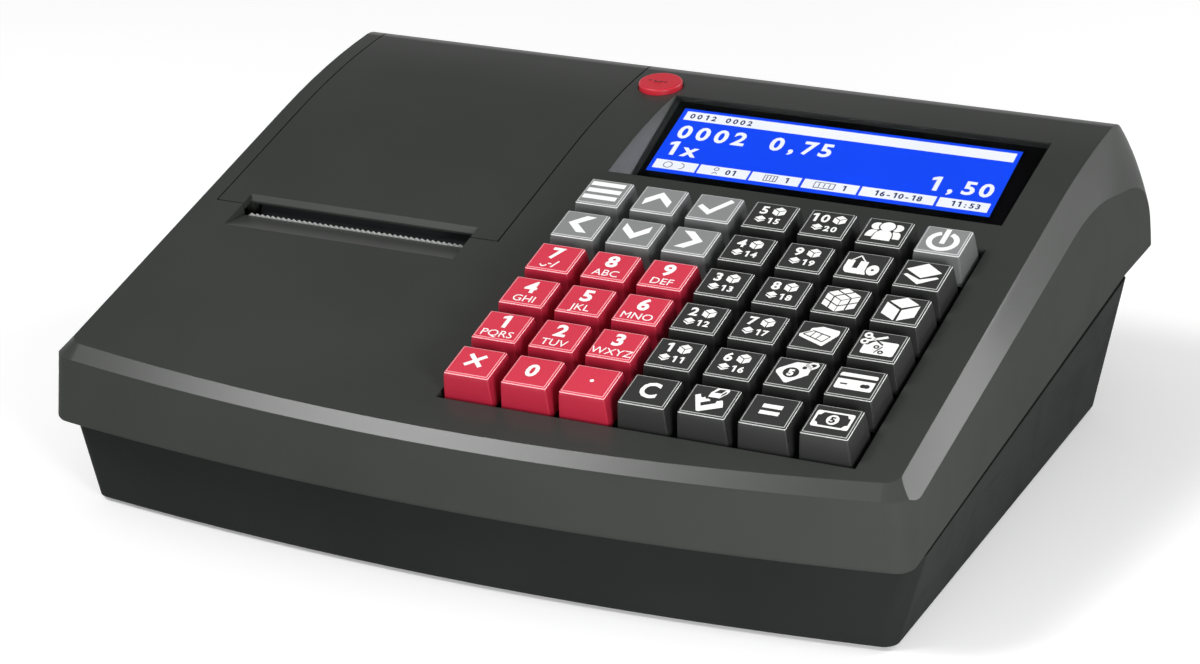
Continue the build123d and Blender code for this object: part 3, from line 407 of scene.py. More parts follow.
def glassMaterial():
    # a smoked acrylic pane, a little mottled in its tint
    material, tree, shader = startMaterial("windowGlass")
    grain = placeGroup(tree, grainGroup, [
        ("Grain Scale", glassLook["grainScale"]), ("Drift Scale", glassLook["driftScale"])])
    drift = grain.outputs["Drift"]
    color = mixColors(tree, drift, paint(glassLook["color"]), paint(glassLook["driftColor"]))
    tree.links.new(color, shader.inputs["Base Color"])
    tree.links.new(ranged(tree, drift, (0, 1), glassLook["roughness"]), shader.inputs["Roughness"])
    shader.inputs["Transmission Weight"].default_value = glassLook["transmission"]
    shader.inputs["IOR"].default_value = glassLook["bending"]
    shader.inputs["Specular IOR Level"].default_value = glassLook["specular"]
    return material


def litMaterial(name, color, lineColor, strength):
    # a lit part of the display, with the fine grid of its dots
    material, tree, shader = startMaterial(name)
    turn = addNode(tree, "Mapping", [("Rotation", (math.radians(-glassTilt), 0.0, 0.0))])
    tree.links.new(addNode(tree, "TexCoord").outputs["Object"], turn.inputs["Vector"])
    grid = addNode(tree, "TexBrick", [
        ("Scale", cellLook["dots"]), ("Brick Width", 1.0), ("Row Height", 1.0),
        ("Mortar Size", cellLook["line"]), ("Mortar Smooth", cellLook["lineBlur"]),
        ("Color1", paint(color)), ("Color2", paint(color)), ("Mortar", paint(lineColor))], offset=0.0)
    tree.links.new(turn.outputs[0], grid.inputs["Vector"])
    tree.links.new(grid.outputs["Color"], shader.inputs["Emission Color"])
    shader.inputs["Emission Strength"].default_value = strength
    shader.inputs["Base Color"].default_value = paint(cellLook["base"])
    shader.inputs["Roughness"].default_value = cellLook["roughness"]
    shader.inputs["Specular IOR Level"].default_value = cellLook["specular"]
    return material


finish["windowGlass"] = glassMaterial()
for name, look in cellColors.items():
    finish[name] = litMaterial(name, *look)

nodeFinish = {
    "upper_case": "casePlastic", "lower_case": "basePlastic", "printer_cover": "coverPlastic",
    "rubber_feet": "footRubber", "case_screws": "screwSteel", "display_window": "windowGlass",
    "lcd_module": "displayMetal", "feed_button": "buttonPlastic", "cover_hinge_pin": "pinSteel",
    "platen_roller": "platenRubber", "drive_pinion": "pinionPlastic", "feed_motor": "motorSteel",
    "print_head": "headAluminium", "paper_bucket": "bucketPlastic", "tear_bar": "tearSteel",
    "circuit_boards": "boardLaminate", "rear_sockets": "socketPlastic", "key_switches": "switchPlastic",
}
for name, label in nodeFinish.items():
    nodes[name].data.materials.clear()
    nodes[name].data.materials.append(finish[label])
print("carried-over parts painted")


millimetre = 0.001
deckTilt = 13.8       # of the keyboard's plane, in degrees from level


def slant(degrees, origin):
    # a plane in millimetres that climbs to the rear, as a matrix into metres
    return (
        Matrix.Translation(Vector(origin) * millimetre)
        @ Matrix.Rotation(math.radians(degrees), 4, "X")
        @ Matrix.Scale(millimetre, 4)
    )


deckPlane = slant(deckTilt, (0.0, -118.75, 53.7))
glassPlane = slant(glassTilt, (57.2, 22.397, 80.646))


def bevelEdges(bm, edges, width, segments):
    return bmesh.ops.bevel(
        bm, geom=edges, offset=width, offset_type="OFFSET", affect="EDGES",
        segments=segments, profile=0.5, material=-1)["faces"]


def raiseFaces(bm, faces, thickness, slot):
    # gives flat faces a thickness, upwards
    grown = bmesh.ops.extrude_face_region(bm, geom=faces, use_keep_orig=True)["geom"]
    lifted = [item for item in grown if isinstance(item, bmesh.types.BMVert)]
    bmesh.ops.translate(bm, verts=lifted, vec=(0, 0, thickness))
    shell = {face for vert in lifted for face in vert.link_faces} | set(faces)
    for face in shell:
        face.material_index = slot
    bmesh.ops.recalc_face_normals(bm, faces=list(shell))


# flat shapes in millimetres, printed on the key tops and shown on the display
shapes = {
    "discSteps": 24, "ringSteps": 28, "curveSteps": 3,
    "digitHeight": 0.729,       # of Blender's own font, at size 1
    "merge": 0.0001,
    "digitOne": [
        (0.2, -0.5), (0.2, 0.5), (0.02, 0.5), (-0.22, 0.38), (-0.22, 0.2), (-0.01, 0.27), (-0.01, -0.5)],
}


def moved(points, size, middle, turn=0.0):
    angle = math.radians(turn)
    return [
        (middle[0] + size * (x * math.cos(angle) - y * math.sin(angle)),
         middle[1] + size * (x * math.sin(angle) + y * math.cos(angle)))
        for x, y in points
    ]


def patch(bm, points, base, thickness, slot):
    face = bm.faces.new([bm.verts.new((x, y, base)) for x, y in points])
    raiseFaces(bm, [face], thickness, slot)


def disc(bm, middle, radius, base, thickness, slot, tall=1.0):
    # tall stretches it to the rear and the front
    made = bmesh.ops.create_circle(
        bm, cap_ends=True, segments=shapes["discSteps"], radius=radius,
        matrix=Matrix.Translation((*middle, base)) @ Matrix.Diagonal((1.0, tall, 1.0, 1.0)))
    raiseFaces(bm, made["verts"][0].link_faces[:], thickness, slot)


def ring(bm, middle, inner, outer, start, sweep, base, thickness, slot):
    # an arc of a flat ring, in degrees from the rear, turning to the left
    ends = [bm.verts.new((middle[0], middle[1] + reach, base)) for reach in (inner, outer)]
    edge = bm.edges.new(ends)
    bmesh.ops.rotate(
        bm, verts=ends, cent=(*middle, base), matrix=Matrix.Rotation(math.radians(start), 3, "Z"))
    before = set(bm.faces)
    bmesh.ops.spin(
        bm, geom=[*ends, edge], cent=(*middle, base), axis=(0, 0, 1),
        angle=math.radians(sweep), steps=shapes["ringSteps"], use_merge=abs(sweep) == 360)
    raiseFaces(bm, [face for face in bm.faces if face not in before], thickness, slot)


def lettering(bm, words, middle, height, weight, base, thickness, slot, stretch=1.0):
    # words set from Blender's own font, scaled to the height of its digits
    curve = bpy.data.curves.new("lettering", "FONT")
    curve.body = words
    curve.offset = weight
    curve.resolution_u = shapes["curveSteps"]
    curve.space_character = 1.0 + 2 * weight
    holder = bpy.data.objects.new("lettering", curve)
    bpy.context.scene.collection.objects.link(holder)
    bpy.context.view_layer.update()
    mesh = bpy.data.meshes.new_from_object(holder)
    bpy.data.objects.remove(holder)
    before = set(bm.verts)
    bm.from_mesh(mesh)
    bpy.data.meshes.remove(mesh)
    verts = [vert for vert in bm.verts if vert not in before]
    left = min(vert.co.x for vert in verts)
    right = max(vert.co.x for vert in verts)
    size = height / (shapes["digitHeight"] + 2 * weight)
    for vert in verts:
        vert.co = Vector((
            middle[0] + (vert.co.x - (left + right) / 2) * size * stretch,
            middle[1] + (vert.co.y - shapes["digitHeight"] / 2) * size,
            base,
        ))
    bmesh.ops.remove_doubles(bm, verts=verts, dist=shapes["merge"])
    faces = list({face for vert in verts if vert.is_valid for face in vert.link_faces})
    raiseFaces(bm, faces, thickness, slot)


def spaced(bm, words, middle, height, weight, pitch, base, thickness, slot):
    # signs in cells of one width, as on a display
    for place, sign in enumerate(words):
        x = middle[0] + (place - (len(words) - 1) / 2) * pitch
        if sign == "1":
            patch(bm, moved(shapes["digitOne"], height, (x, middle[1])), base, thickness, slot)
        elif sign != " ":
            lettering(bm, sign, (x, middle[1]), height, weight, base, thickness, slot)


def finishPiece(name, bm, matrix, materials, body, replaced=()):
    # the mesh is placed, so that its object stays at the origin
    mesh = bpy.data.meshes.new(name)
    bmesh.ops.transform(bm, matrix=matrix, verts=bm.verts)
    bm.to_mesh(mesh)
    bm.free()
    for label in materials:
        mesh.materials.append(finish[label])
    piece = bpy.data.objects.new(name, mesh)
    bpy.context.scene.collection.objects.link(piece)
    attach(piece, body)
    if replaced:
        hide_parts(*replaced)
    return piece


# keycaps, each with its printed legend
keycap = {
    "pitch": 19.05, "middle": (57.2, 71.8),
    "topWidth": 14.64, "topDepth": 14.09, "top": 8.2,
    "shoulder": 6.3, "shoulderSpread": 0.12,       # the sides lean more above this height
    "skirtWidth": 16.4, "skirtDepth": 16.2, "skirtBottom": -2.5,
    "corner": 0.5, "cornerSteps": 4, "wall": 1.2,
    "rim": 0.6, "rimDrop": 0.38,                   # the bevel round the top and its edges, coloured light as a painted highlight
    "rimLine": 0.14, "rimLineSteps": 2,            # and its bright edges
    "stemRadius": 2.75, "stemBottom": -9.0, "stemBury": 1.0, "stemSteps": 24,
    "slack": 0.1, "sharpAngle": 35,                # heights within the slack count as the same
    "inkSink": 0.02, "inkStep": 0.05,              # each layer of ink stands a step higher
    "digitPitch": 0.79,                            # as a share of the digits' height
}
plastic, printed, paintedHighlight = range(3)            # the keycap's material slots
keyRows = [
    ["menu", "up", "check", "item_05", "item_10", "clerks", "power"],
    ["left", "down", "right", "item_04", "item_09", "bag", "layers"],
    ["digit_7", "digit_8", "digit_9", "item_03", "item_08", "cube_grid", "cube"],
    ["digit_4", "digit_5", "digit_6", "item_02", "item_07", "tray", "discount"],
    ["digit_1", "digit_2", "digit_3", "item_01", "item_06", "tag", "card"],
    ["multiply", "digit_0", "point", "clear", "void", "equals", "cash"],
]
keyKinds = {       # all others are dark
    "grey": {"menu", "up", "check", "power", "left", "down", "right"},
    "red": {"multiply", "point"} | {"digit_" + str(number) for number in range(10)},
}
keypad = {
    "height": 6.3, "weight": 0.035, "middle": (-0.2, 2.4), "zeroMiddle": (-0.2, 0.5),
    "letterHeight": 3.3, "letterMiddle": (0, -3.8),
}
keypadLetters = {
    "digit_8": "ABC", "digit_9": "DEF", "digit_4": "GHI", "digit_5": "JKL", "digit_6": "MNO",
    "digit_1": "PQRS", "digit_2": "TUV", "digit_3": "WXYZ",
}


def capBlank(bm):
    bmesh.ops.create_cube(bm, size=1)
    for vert in bm.verts:
        end = "top" if vert.co.z > 0 else "skirt"
        height = keycap["top"] if vert.co.z > 0 else keycap["skirtBottom"]
        vert.co = Vector((vert.co.x * keycap[end + "Width"], vert.co.y * keycap[end + "Depth"], height))
    cut = bmesh.ops.bisect_plane(
        bm, geom=bm.verts[:] + bm.edges[:] + bm.faces[:],
        plane_co=(0, 0, keycap["shoulder"]), plane_no=(0, 0, 1))
    for item in cut["geom_cut"]:
        if isinstance(item, bmesh.types.BMVert):
            item.co.x += math.copysign(keycap["shoulderSpread"], item.co.x)
            item.co.y += math.copysign(keycap["shoulderSpread"], item.co.y)
    floor = min(bm.faces, key=lambda face: face.calc_center_median().z)
    bmesh.ops.delete(bm, geom=[floor], context="FACES")
    bm.normal_update()
    lid = max(bm.faces, key=lambda face: face.normal.z)
    bmesh.ops.inset_region(bm, faces=[lid], thickness=keycap["rim"], use_even_offset=True)
    border = [
        vert for vert in bm.verts
        if vert.co.z > keycap["shoulder"] + keycap["slack"] and vert not in lid.verts[:]
    ]
    bmesh.ops.translate(bm, verts=border, vec=(0, 0, -keycap["rimDrop"]))
    corners = [      # all that climb more than the rim does
        edge for edge in bm.edges
        if abs(edge.verts[0].co.z - edge.verts[1].co.z) > keycap["rimDrop"] + keycap["slack"]
    ]
    bevelEdges(bm, corners, keycap["corner"], keycap["cornerSteps"])
    loops = [
        edge for edge in bm.edges for height in (keycap["top"], keycap["top"] - keycap["rimDrop"])
        if all(abs(vert.co.z - height) < keycap["slack"] for vert in edge.verts)
    ]
    # the bevel's thin faces along both edge loops take a light colour: painted highlight
    for face in bevelEdges(bm, loops, keycap["rimLine"], keycap["rimLineSteps"]):
        face.material_index = paintedHighlight
    bmesh.ops.recalc_face_normals(bm, faces=bm.faces[:])
    bmesh.ops.solidify(bm, geom=bm.faces[:], thickness=keycap["wall"])
    stemTop = keycap["top"] - keycap["stemBury"]
    bmesh.ops.create_cone(
        bm, cap_ends=True, segments=keycap["stemSteps"],
        radius1=keycap["stemRadius"], radius2=keycap["stemRadius"], depth=stemTop - keycap["stemBottom"],
        matrix=Matrix.Translation((0, 0, (stemTop + keycap["stemBottom"]) / 2)))
    for face in bm.faces:
        face.smooth = True


def inkBed(level):
    # where the ink starts, and its thickness at this level
    return keycap["top"] - keycap["inkSink"], keycap["inkStep"] * level


# the signs are drawn in millimetres about the middle of the key top, and
# a higher level lies over a lower one, or shows the plastic's colour again
def ink(bm, points, level=1, slot=printed):
    patch(bm, points, *inkBed(level), slot)


def inkDisc(bm, middle, radius, level=1, slot=printed, tall=1.0):
    disc(bm, middle, radius, *inkBed(level), slot, tall)


def inkRing(bm, middle, inner, outer, start=0, sweep=360, level=1, slot=printed):
    ring(bm, middle, inner, outer, start, sweep, *inkBed(level), slot)


def inkWords(bm, words, middle, height, weight, level=1, slot=printed, stretch=1.0):
    lettering(bm, words, middle, height, weight, *inkBed(level), slot, stretch)


def inkDigits(bm, words, middle, height, weight=0.03):
    spaced(bm, words, middle, height, weight, keycap["digitPitch"] * height, *inkBed(1), printed)


def inkBox(bm, left, low, right, high, level=1, slot=printed, corner=0.0):
    points = [(left, low), (right, low), (right, high), (left, high)]
    if corner:
        points = []
        for x, y, start in (
            (right - corner, high - corner, 0), (left + corner, high - corner, 90),
            (left + corner, low + corner, 180), (right - corner, low + corner, 270),
        ):
            for turn in (0, 30, 60, 90):
                angle = math.radians(start + turn)
                points.append((x + corner * math.cos(angle), y + corner * math.sin(angle)))
    ink(bm, points, level, slot)


def inkLine(bm, start, end, width, level=1, slot=printed):
    along = Vector((end[0] - start[0], end[1] - start[1])).normalized() * width / 2
    ink(bm, [
        (start[0] + along.y, start[1] - along.x), (end[0] + along.y, end[1] - along.x),
        (end[0] - along.y, end[1] + along.x), (start[0] - along.y, start[1] + along.x),
    ], level, slot)


def boxSign(bm, middle, size):
    for points in ([(0.0, 1.22), (0.88, 0.68), (0.0, 0.15), (-0.88, 0.68)],
                   [(-1.0, 0.57), (-0.07, -0.04), (-0.09, -1.11), (-1.01, -0.56)],
                   [(1.0, 0.57), (1.0, -0.55), (0.09, -1.11), (0.07, -0.04)]):
        ink(bm, moved(points, size, middle))


def layersSign(bm, middle, size):
    sheet = [(-1.0, 0.33), (0.0, 1.05), (1.0, 0.33), (0.0, -0.34)]
    under = [(-1.0, -0.19), (-0.84, -0.08), (0.0, -0.5), (0.84, -0.08), (1.0, -0.19), (0.0, -0.93)]
    ink(bm, moved(sheet, size, middle))
    ink(bm, moved(under, size, middle))


def chevronSign(bm, turn):
    arms = [(-4.8, -0.57), (-4.6, -4.1), (0.0, 0.78), (4.6, -4.1), (4.8, -0.57), (0.0, 4.2)]
    ink(bm, moved(arms, 0.96, (-0.2, 0.4), turn))


def menuSign(bm):
    for low in (3.2, -0.5, -4.25):
        inkBox(bm, -6.2, low, 5.4, low + 2.2)


def checkSign(bm):
    ink(bm, [(-5.6, -0.3), (-4.6, 1.25), (-1.1, -1.3), (3.65, 5.5), (5.15, 4.35), (-0.8, -4.15)])


def powerSign(bm):
    inkRing(bm, (0, -0.55), 3.4, 5.2, start=22, sweep=316)
    inkBox(bm, -0.85, -1.85, 0.8, 6.0)


def clerksSign(bm):
    helper = [(-5.6, -3.2), (-5.6, -1.6), (-5.2, -0.3), (-4.5, 0.5), (-2.6, 0.5), (-2.6, -3.2)]
    body = [
        (-2.95, -4.6), (-2.9, -2.3), (-2.6, -0.8), (-1.6, 0.5),
        (1.6, 0.5), (2.6, -0.8), (2.9, -2.3), (2.95, -4.6)]
    for side in (-1, 1):
        inkDisc(bm, (3.35 * side, 2.7), 1.9)
        ink(bm, [(side * x, y) for x, y in helper])
    inkDisc(bm, (0, 2.85), 2.85, 2, plastic)
    ink(bm, moved(body, 1.14, (0, 0.1)), 2, plastic)
    inkDisc(bm, (0, 2.85), 2.4, 3)
    ink(bm, body, 3)


def bagSign(bm):
    ink(bm, [
        (-5.7, 2.3), (-5.7, -1.7), (-5.3, -3.3), (-4.4, -4.4),
        (2.1, -4.5), (1.5, -2.6), (1.2, -0.6), (1.1, 2.3)])
    ink(bm, [(-3.15, 2.4), (-3.15, -1.7), (-1.5, -1.7), (-1.5, 2.4)], 2, plastic)
    inkLine(bm, (-4.4, 2.2), (-2.2, 5.1), 0.45)
    inkLine(bm, (0.0, 2.2), (-2.3, 5.1), 0.45)
    inkDisc(bm, (3.66, -1.75), 2.35, 2, plastic, tall=1.3)
    inkDisc(bm, (3.66, -1.75), 1.95, 3, tall=1.38)
    inkDisc(bm, (3.6, -1.7), 0.5, 4, plastic)


def gridSign(bm):
    for points in ([(0, 6.5), (5.1, 3.5), (0, 0.3), (-5.1, 3.4)],
                   [(-5.25, 3.0), (-0.15, -0.05), (-0.15, -5.8), (-5.25, -2.8)],
                   [(5.25, 3.1), (5.25, -2.9), (0.1, -5.8), (0.1, -0.05)]):
        ink(bm, points)
        middles = [(Vector(one) + Vector(two)) / 2 for one, two in zip(points, points[1:] + points[:1])]
        inkLine(bm, middles[0], middles[2], 0.4, 2, plastic)
        inkLine(bm, middles[1], middles[3], 0.4, 2, plastic)


def traySign(bm):
    ink(bm, [
        (-6.0, 0.0), (-3.4, 2.1), (-3.3, 3.45), (-0.15, 4.95), (5.4, 4.0), (5.75, 3.3), (5.75, 1.7),
        (2.75, -4.35), (2.15, -4.25), (-5.7, -1.05)])
    for start, end, width in (
        ((-2.3, 2.35), (3.8, 0.55), 0.38), ((3.7, 0.6), (2.0, -2.5), 0.28),
        ((-4.8, 0.2), (2.1, -2.45), 0.38), ((-4.7, 0.3), (-2.2, 2.3), 0.28),
        ((-1.4, 1.9), (-2.3, -0.6), 0.28), ((0.8, 1.3), (-0.2, -1.4), 0.28),
    ):
        inkLine(bm, start, end, width, 2, plastic)


def discountSign(bm):
    inkBox(bm, -4.5, -4.5, 5.8, 2.2, corner=0.7)
    ink(bm, [(-5.0, -0.1), (-3.4, -0.3), (-2.2, 1.2), (-0.9, 2.4), (-5.0, 2.4)], 2, plastic)
    inkLine(bm, (-1.6, 2.5), (1.2, 0.4), 0.55, 3, plastic)
    for middle in ((-0.4, -0.8), (1.6, -3.1)):
        inkRing(bm, middle, 0.4, 0.9, level=2, slot=plastic)
    inkLine(bm, (1.4, -0.3), (-0.3, -3.7), 0.4, 2, plastic)
    for middle in ((-4.6, 4.35), (-4.75, 1.15)):
        inkRing(bm, middle, 0.6, 1.3, level=3)
    inkLine(bm, (-3.8, 1.7), (1.4, 4.6), 0.85, 4)
    inkLine(bm, (-3.7, 3.8), (-1.5, 2.3), 0.85, 4)


def tagSign(bm):
    ink(bm, [
        (-5.85, 0.2), (-5.4, 1.35), (-1.55, 5.0), (-0.95, 5.3), (2.3, 5.4), (4.1, 3.6), (4.15, 0.0),
        (-0.75, -5.0), (-1.55, -5.0), (-5.6, -0.8)])
    inkDisc(bm, (-1.15, 0.0), 2.45, 2, plastic)
    inkWords(bm, "5", (-1.15, 0.0), 3.3, 0.05, 3)
    inkDisc(bm, (2.0, 3.1), 0.7, 2, plastic)
    ink(bm, [(1.6, 4.6), (3.4, 6.1), (5.1, 6.2), (5.9, 5.2), (5.7, 4.0), (4.1, 2.4), (2.6, 3.6)])
    ink(bm, [(3.2, 4.9), (4.0, 5.4), (5.1, 5.2), (5.0, 4.4), (4.2, 3.7), (4.0, 4.4)], 2, plastic)


def cardSign(bm):
    inkBox(bm, -5.8, -3.5, 5.8, 4.2, corner=0.7)
    inkBox(bm, -5.9, 1.2, 5.9, 2.4, 2, plastic)
    inkBox(bm, -4.4, -1.5, -2.2, -0.9, 2, plastic)
    inkDisc(bm, (2.7, -1.15), 0.9, 2, plastic)
    inkDisc(bm, (3.8, -1.15), 0.9, 3, plastic)


def voidSign(bm):
    ink(bm, [
        (-5.2, 1.6), (-3.8, 2.5), (-3.2, 1.2), (-2.5, 0.9), (-1.9, 1.45), (-1.5, 0.6),
        (-0.7, 0.8), (0.1, 0.4), (0.1, 0.0), (-2.3, -1.4), (-1.65, -3.0), (2.2, -0.75),
        (2.1, 0.2), (3.5, 0.95), (3.9, 0.8), (5.0, -2.1), (-1.4, -5.6), (-2.1, -5.5)])
    ink(bm, [(-1.2, 1.75), (-1.05, 3.85), (0.2, 6.3), (3.75, 6.4), (4.2, 5.6), (3.75, 4.0), (2.3, 1.8)])
    ink(bm, [(-0.1, 3.95), (1.05, 5.75), (2.95, 5.85), (2.1, 4.1)], 2, plastic)
    ink(bm, [(2.35, 2.5), (2.5, 3.8), (3.4, 5.3), (3.5, 4.3)], 2, plastic)


def equalsSign(bm):
    inkBox(bm, -3.1, 1.1, 3.05, 2.9)
    inkBox(bm, -3.1, -1.95, 3.05, -0.25)


def multiplySign(bm):
    inkLine(bm, (-2.8, -2.2), (2.4, 3.3), 1.4)
    inkLine(bm, (-2.8, 3.3), (2.4, -2.2), 1.4, 2)


def cashSign(bm):
    inkBox(bm, -5.8, -3.4, 5.8, 4.2, corner=0.7)
    cut = [(-5.0, 1.9), (-4.2, 2.2), (-3.6, 3.4)]      # the frame's rear left corner
    corners = ((1, 1, cut), (-1, 1, cut[::-1]), (-1, -1, cut), (1, -1, cut[::-1]))
    inside = [(across * x, 0.4 + up * (y - 0.4)) for across, up, points in corners for x, y in points]
    ink(bm, inside, 2, plastic)
    inkDisc(bm, (0, 0.4), 1.9, 3, tall=1.2)
    inkWords(bm, "5", (0, 0.4), 3.0, 0.04, 4, plastic)


def sevenSign(bm):
    inkWords(bm, "7", (-0.3, 2.4), keypad["height"], keypad["weight"])
    inkRing(bm, (-2.1, -4.2), 0.7, 1.2, start=90, sweep=180)
    inkBox(bm, -0.8, -3.8, 0.4, -3.3)
    inkLine(bm, (0.8, -5.3), (2.3, -1.7), 0.55)


def itemSign(bm, number):
    shift = 0.0 if number < 10 else 1.2
    inkDigits(bm, str(number), (-2.9 - shift / 3, 2.8), 4.4)
    boxSign(bm, (2.0 + shift, 2.7), 2.05)
    layersSign(bm, (-2.6, -2.4), 1.8)
    inkDigits(bm, str(number + 10), (1.9, -2.5), 3.0)


signs = {
    "menu": menuSign, "check": checkSign, "power": powerSign, "clerks": clerksSign, "bag": bagSign,
    "up": lambda bm: chevronSign(bm, 0), "left": lambda bm: chevronSign(bm, 90),
    "down": lambda bm: chevronSign(bm, 180), "right": lambda bm: chevronSign(bm, 270),
    "layers": lambda bm: layersSign(bm, (0, 0), 5.65), "cube": lambda bm: boxSign(bm, (0, 0), 5.2),
    "cube_grid": gridSign, "tray": traySign, "discount": discountSign, "tag": tagSign,
    "card": cardSign, "void": voidSign, "equals": equalsSign, "multiply": multiplySign, "cash": cashSign,
    "point": lambda bm: inkDisc(bm, (0.3, 0.2), 0.65),
    "clear": lambda bm: inkWords(bm, "C", (-0.1, 0.5), 7.8, 0.03, stretch=0.88),
    "digit_0": lambda bm: inkWords(bm, "0", keypad["zeroMiddle"], keypad["height"], keypad["weight"]),
    "digit_7": sevenSign,
}


def printLegend(bm, name):
    if name in signs:
        signs[name](bm)
    elif name.startswith("item_"):
        itemSign(bm, int(name.removeprefix("item_")))
    else:
        inkDigits(bm, name[-1], keypad["middle"], keypad["height"], keypad["weight"])
        inkWords(bm, keypadLetters[name], keypad["letterMiddle"], keypad["letterHeight"], 0.0)


def makeKeycap(name, row, column):
    bm = bmesh.new()
    capBlank(bm)
    printLegend(bm, name)
    x = keycap["middle"][0] + (column - (len(keyRows[0]) - 1) / 2) * keycap["pitch"]
    y = keycap["middle"][1] - (row - (len(keyRows) - 1) / 2) * keycap["pitch"]
    kind = next((kind for kind, members in keyKinds.items() if name in members), "dark")
    # the third slot colours the rim's bevel edges light: painted highlight
    piece = finishPiece(
        "keycap_" + name, bm, deckPlane @ Matrix.Translation((x, y, 0)),
        [kind + "KeyPlastic", "legendInk", kind + "KeyHighlight"],
        "key_" + name + "_body", ["key_" + name])
    piece.data.set_sharp_from_angle(angle=math.radians(keycap["sharpAngle"]))
    piece.modifiers.new("flatTops", "WEIGHTED_NORMAL").keep_sharp = True


for row, names in enumerate(keyRows):
    for column, name in enumerate(names):
        makeKeycap(name, row, column)
print("keycaps made and printed")

# display: the pane, its printed mask and what the module shows
display = {
    "frontHalf": 63.96, "rearHalf": 65.94, "draft": 0.4452, "length": 53.086,
    "thickness": 1.75, "gap": 0.2, "bevel": 0.25, "bevelSteps": 2,
}
picture = {
    "floor": -2.0, "layer": 0.03,
    "lit": (-61.6, 14.4, 57.8, 49.3),          # left, front, right, rear
    "mask": [(-63.0, 0.4), (63.0, 0.4), (64.8, 52.6), (-64.8, 52.6)],
    "heading": (-60.0, 43.2, 56.3, 47.9),
    "weight": 0.03,
    "words": [      # middle, height, pitch, layer, color
        ("0012 0002", (-46.9, 45.6), 2.7, 2.6, 3, "litNavy"),
        ("0002", (-46.6, 36.9), 7.5, 6.6, 2, "litWhite"),
        ("0,75", (-14.6, 36.9), 7.5, 5.8, 2, "litWhite"),
        ("1x", (-54.0, 27.6), 7.4, 6.5, 2, "litWhite"),
        ("1,50", (44.0, 27.5), 7.4, 5.8, 2, "litWhite"),
    ],
    "boxFront": 16.3, "boxRear": 21.0, "noteLine": 18.7, "noteHeight": 2.7, "notePitch": 2.1,
    "boxes": [      # left, right, note, its middle
        (-60.2, -45.0, "", 0), (-44.2, -26.5, "01", -32.7), (-25.7, -8.3, "1", -12.9),
        (-7.3, 11.8, "1", 7.1), (12.7, 38.2, "16-10-18", 25.6), (39.2, 56.3, "11:53", 48.5),
    ],
    "ringLine": 0.25,
    "rings": [      # middle, radius, start, sweep
        ((-55.3, 18.6), 1.6, 0, 360), ((-51.0, 18.6), 1.6, 0, -180),
        ((-38.1, 19.6), 0.9, 0, 360), ((-38.1, 17.0), 0.9, 90, -180),
    ],
    "cases": [(-21.0, -16.4), (-3.4, 3.8)],    # a case, and a drawer of coins: left, right
    "caseFront": 17.1, "caseRear": 20.2, "caseLine": 0.3, "bars": 3, "barHalf": 0.15, "barInset": 0.5,
}


def paneCorners(depth):
    # front left, front right, rear right and rear left, at a depth below the pane's face
    front = display["frontHalf"] - display["draft"] * depth
    rear = display["rearHalf"] - display["draft"] * depth
    near, far = display["gap"], display["length"] - display["gap"]
    return [(-front, near), (front, near), (rear, far), (-rear, far)]


def makePane():
    bm = bmesh.new()
    bmesh.ops.create_cube(bm, size=1)
    for vert in bm.verts:
        depth = 0 if vert.co.z > 0 else display["thickness"]
        frontLeft, frontRight, rearRight, rearLeft = paneCorners(depth)
        if vert.co.y < 0:
            corner = frontLeft if vert.co.x < 0 else frontRight
        else:
            corner = rearLeft if vert.co.x < 0 else rearRight
        vert.co = Vector((*corner, -depth))
    bevelEdges(bm, bm.edges[:], display["bevel"], display["bevelSteps"])
    finishPiece(
        "display_pane", bm, glassPlane, ["windowGlass"], "case", ["display_window"])


def makePicture():
    bm = bmesh.new()
    colors = ["litBlue", "litWhite", "litNavy", "maskInk"]
    left, low, right, high = picture["lit"]

    def bed(level, color):
        return picture["floor"], picture["layer"] * level, colors.index(color)

    def box(x0, y0, x1, y1, level, color):
        patch(bm, [(x0, y0), (x1, y0), (x1, y1), (x0, y1)], *bed(level, color))

    def words(text, middle, height, pitch, level, color):
        spaced(bm, text, middle, height, picture["weight"], pitch, *bed(level, color))

    box(left, low, right, high, 1, "litBlue")
    inner, outer = [(left, low), (right, low), (right, high), (left, high)], picture["mask"]
    for place in range(4):
        after = (place + 1) % 4
        patch(bm, [outer[place], outer[after], inner[after], inner[place]], *bed(1, "maskInk"))
    box(*picture["heading"], 2, "litWhite")
    for row in picture["words"]:
        words(*row)
    for start, end, note, middle in picture["boxes"]:
        box(start, picture["boxFront"], end, picture["boxRear"], 2, "litWhite")
        place = (middle, picture["noteLine"])
        words(note, place, picture["noteHeight"], picture["notePitch"], 3, "litNavy")
    for middle, radius, start, sweep in picture["rings"]:
        ring(bm, middle, radius - picture["ringLine"], radius, start, sweep, *bed(3, "litNavy"))
    near, far, line = picture["caseFront"], picture["caseRear"], picture["caseLine"]
    for start, end in picture["cases"]:
        box(start, near, end, far, 3, "litNavy")
        box(start + line, near + line, end - line, far - line, 4, "litWhite")
        for bar in range(picture["bars"]):
            middle = start + (end - start) * (bar + 1) / (picture["bars"] + 1)
            box(middle - picture["barHalf"], near + picture["barInset"],
                middle + picture["barHalf"], far - picture["barInset"], 5, "litNavy")
    finishPiece("display_picture", bm, glassPlane, colors, "case")


makePane()
makePicture()
print("display made")

# feed button: the paper sign on its top
button = {
    "place": (-17.1, 77.75, 98.5297), "lean": -5.646, "proud": 2.0,
    "inkSink": 0.02, "inkHeight": 0.04,
    "lines": [
        [(-3.3, 1.6), (3.9, 1.6), (3.6, 2.1), (-3.0, 2.1)],
        [(-3.3, 1.6), (-2.8, 1.6), (-3.6, -1.2), (-4.1, -1.2)],
        [(2.4, 1.6), (2.9, 1.6), (2.2, -1.4), (1.7, -1.4)],
    ],
    "roll": (-0.6, -0.6), "rollInner": 1.0, "rollOuter": 1.5,
}


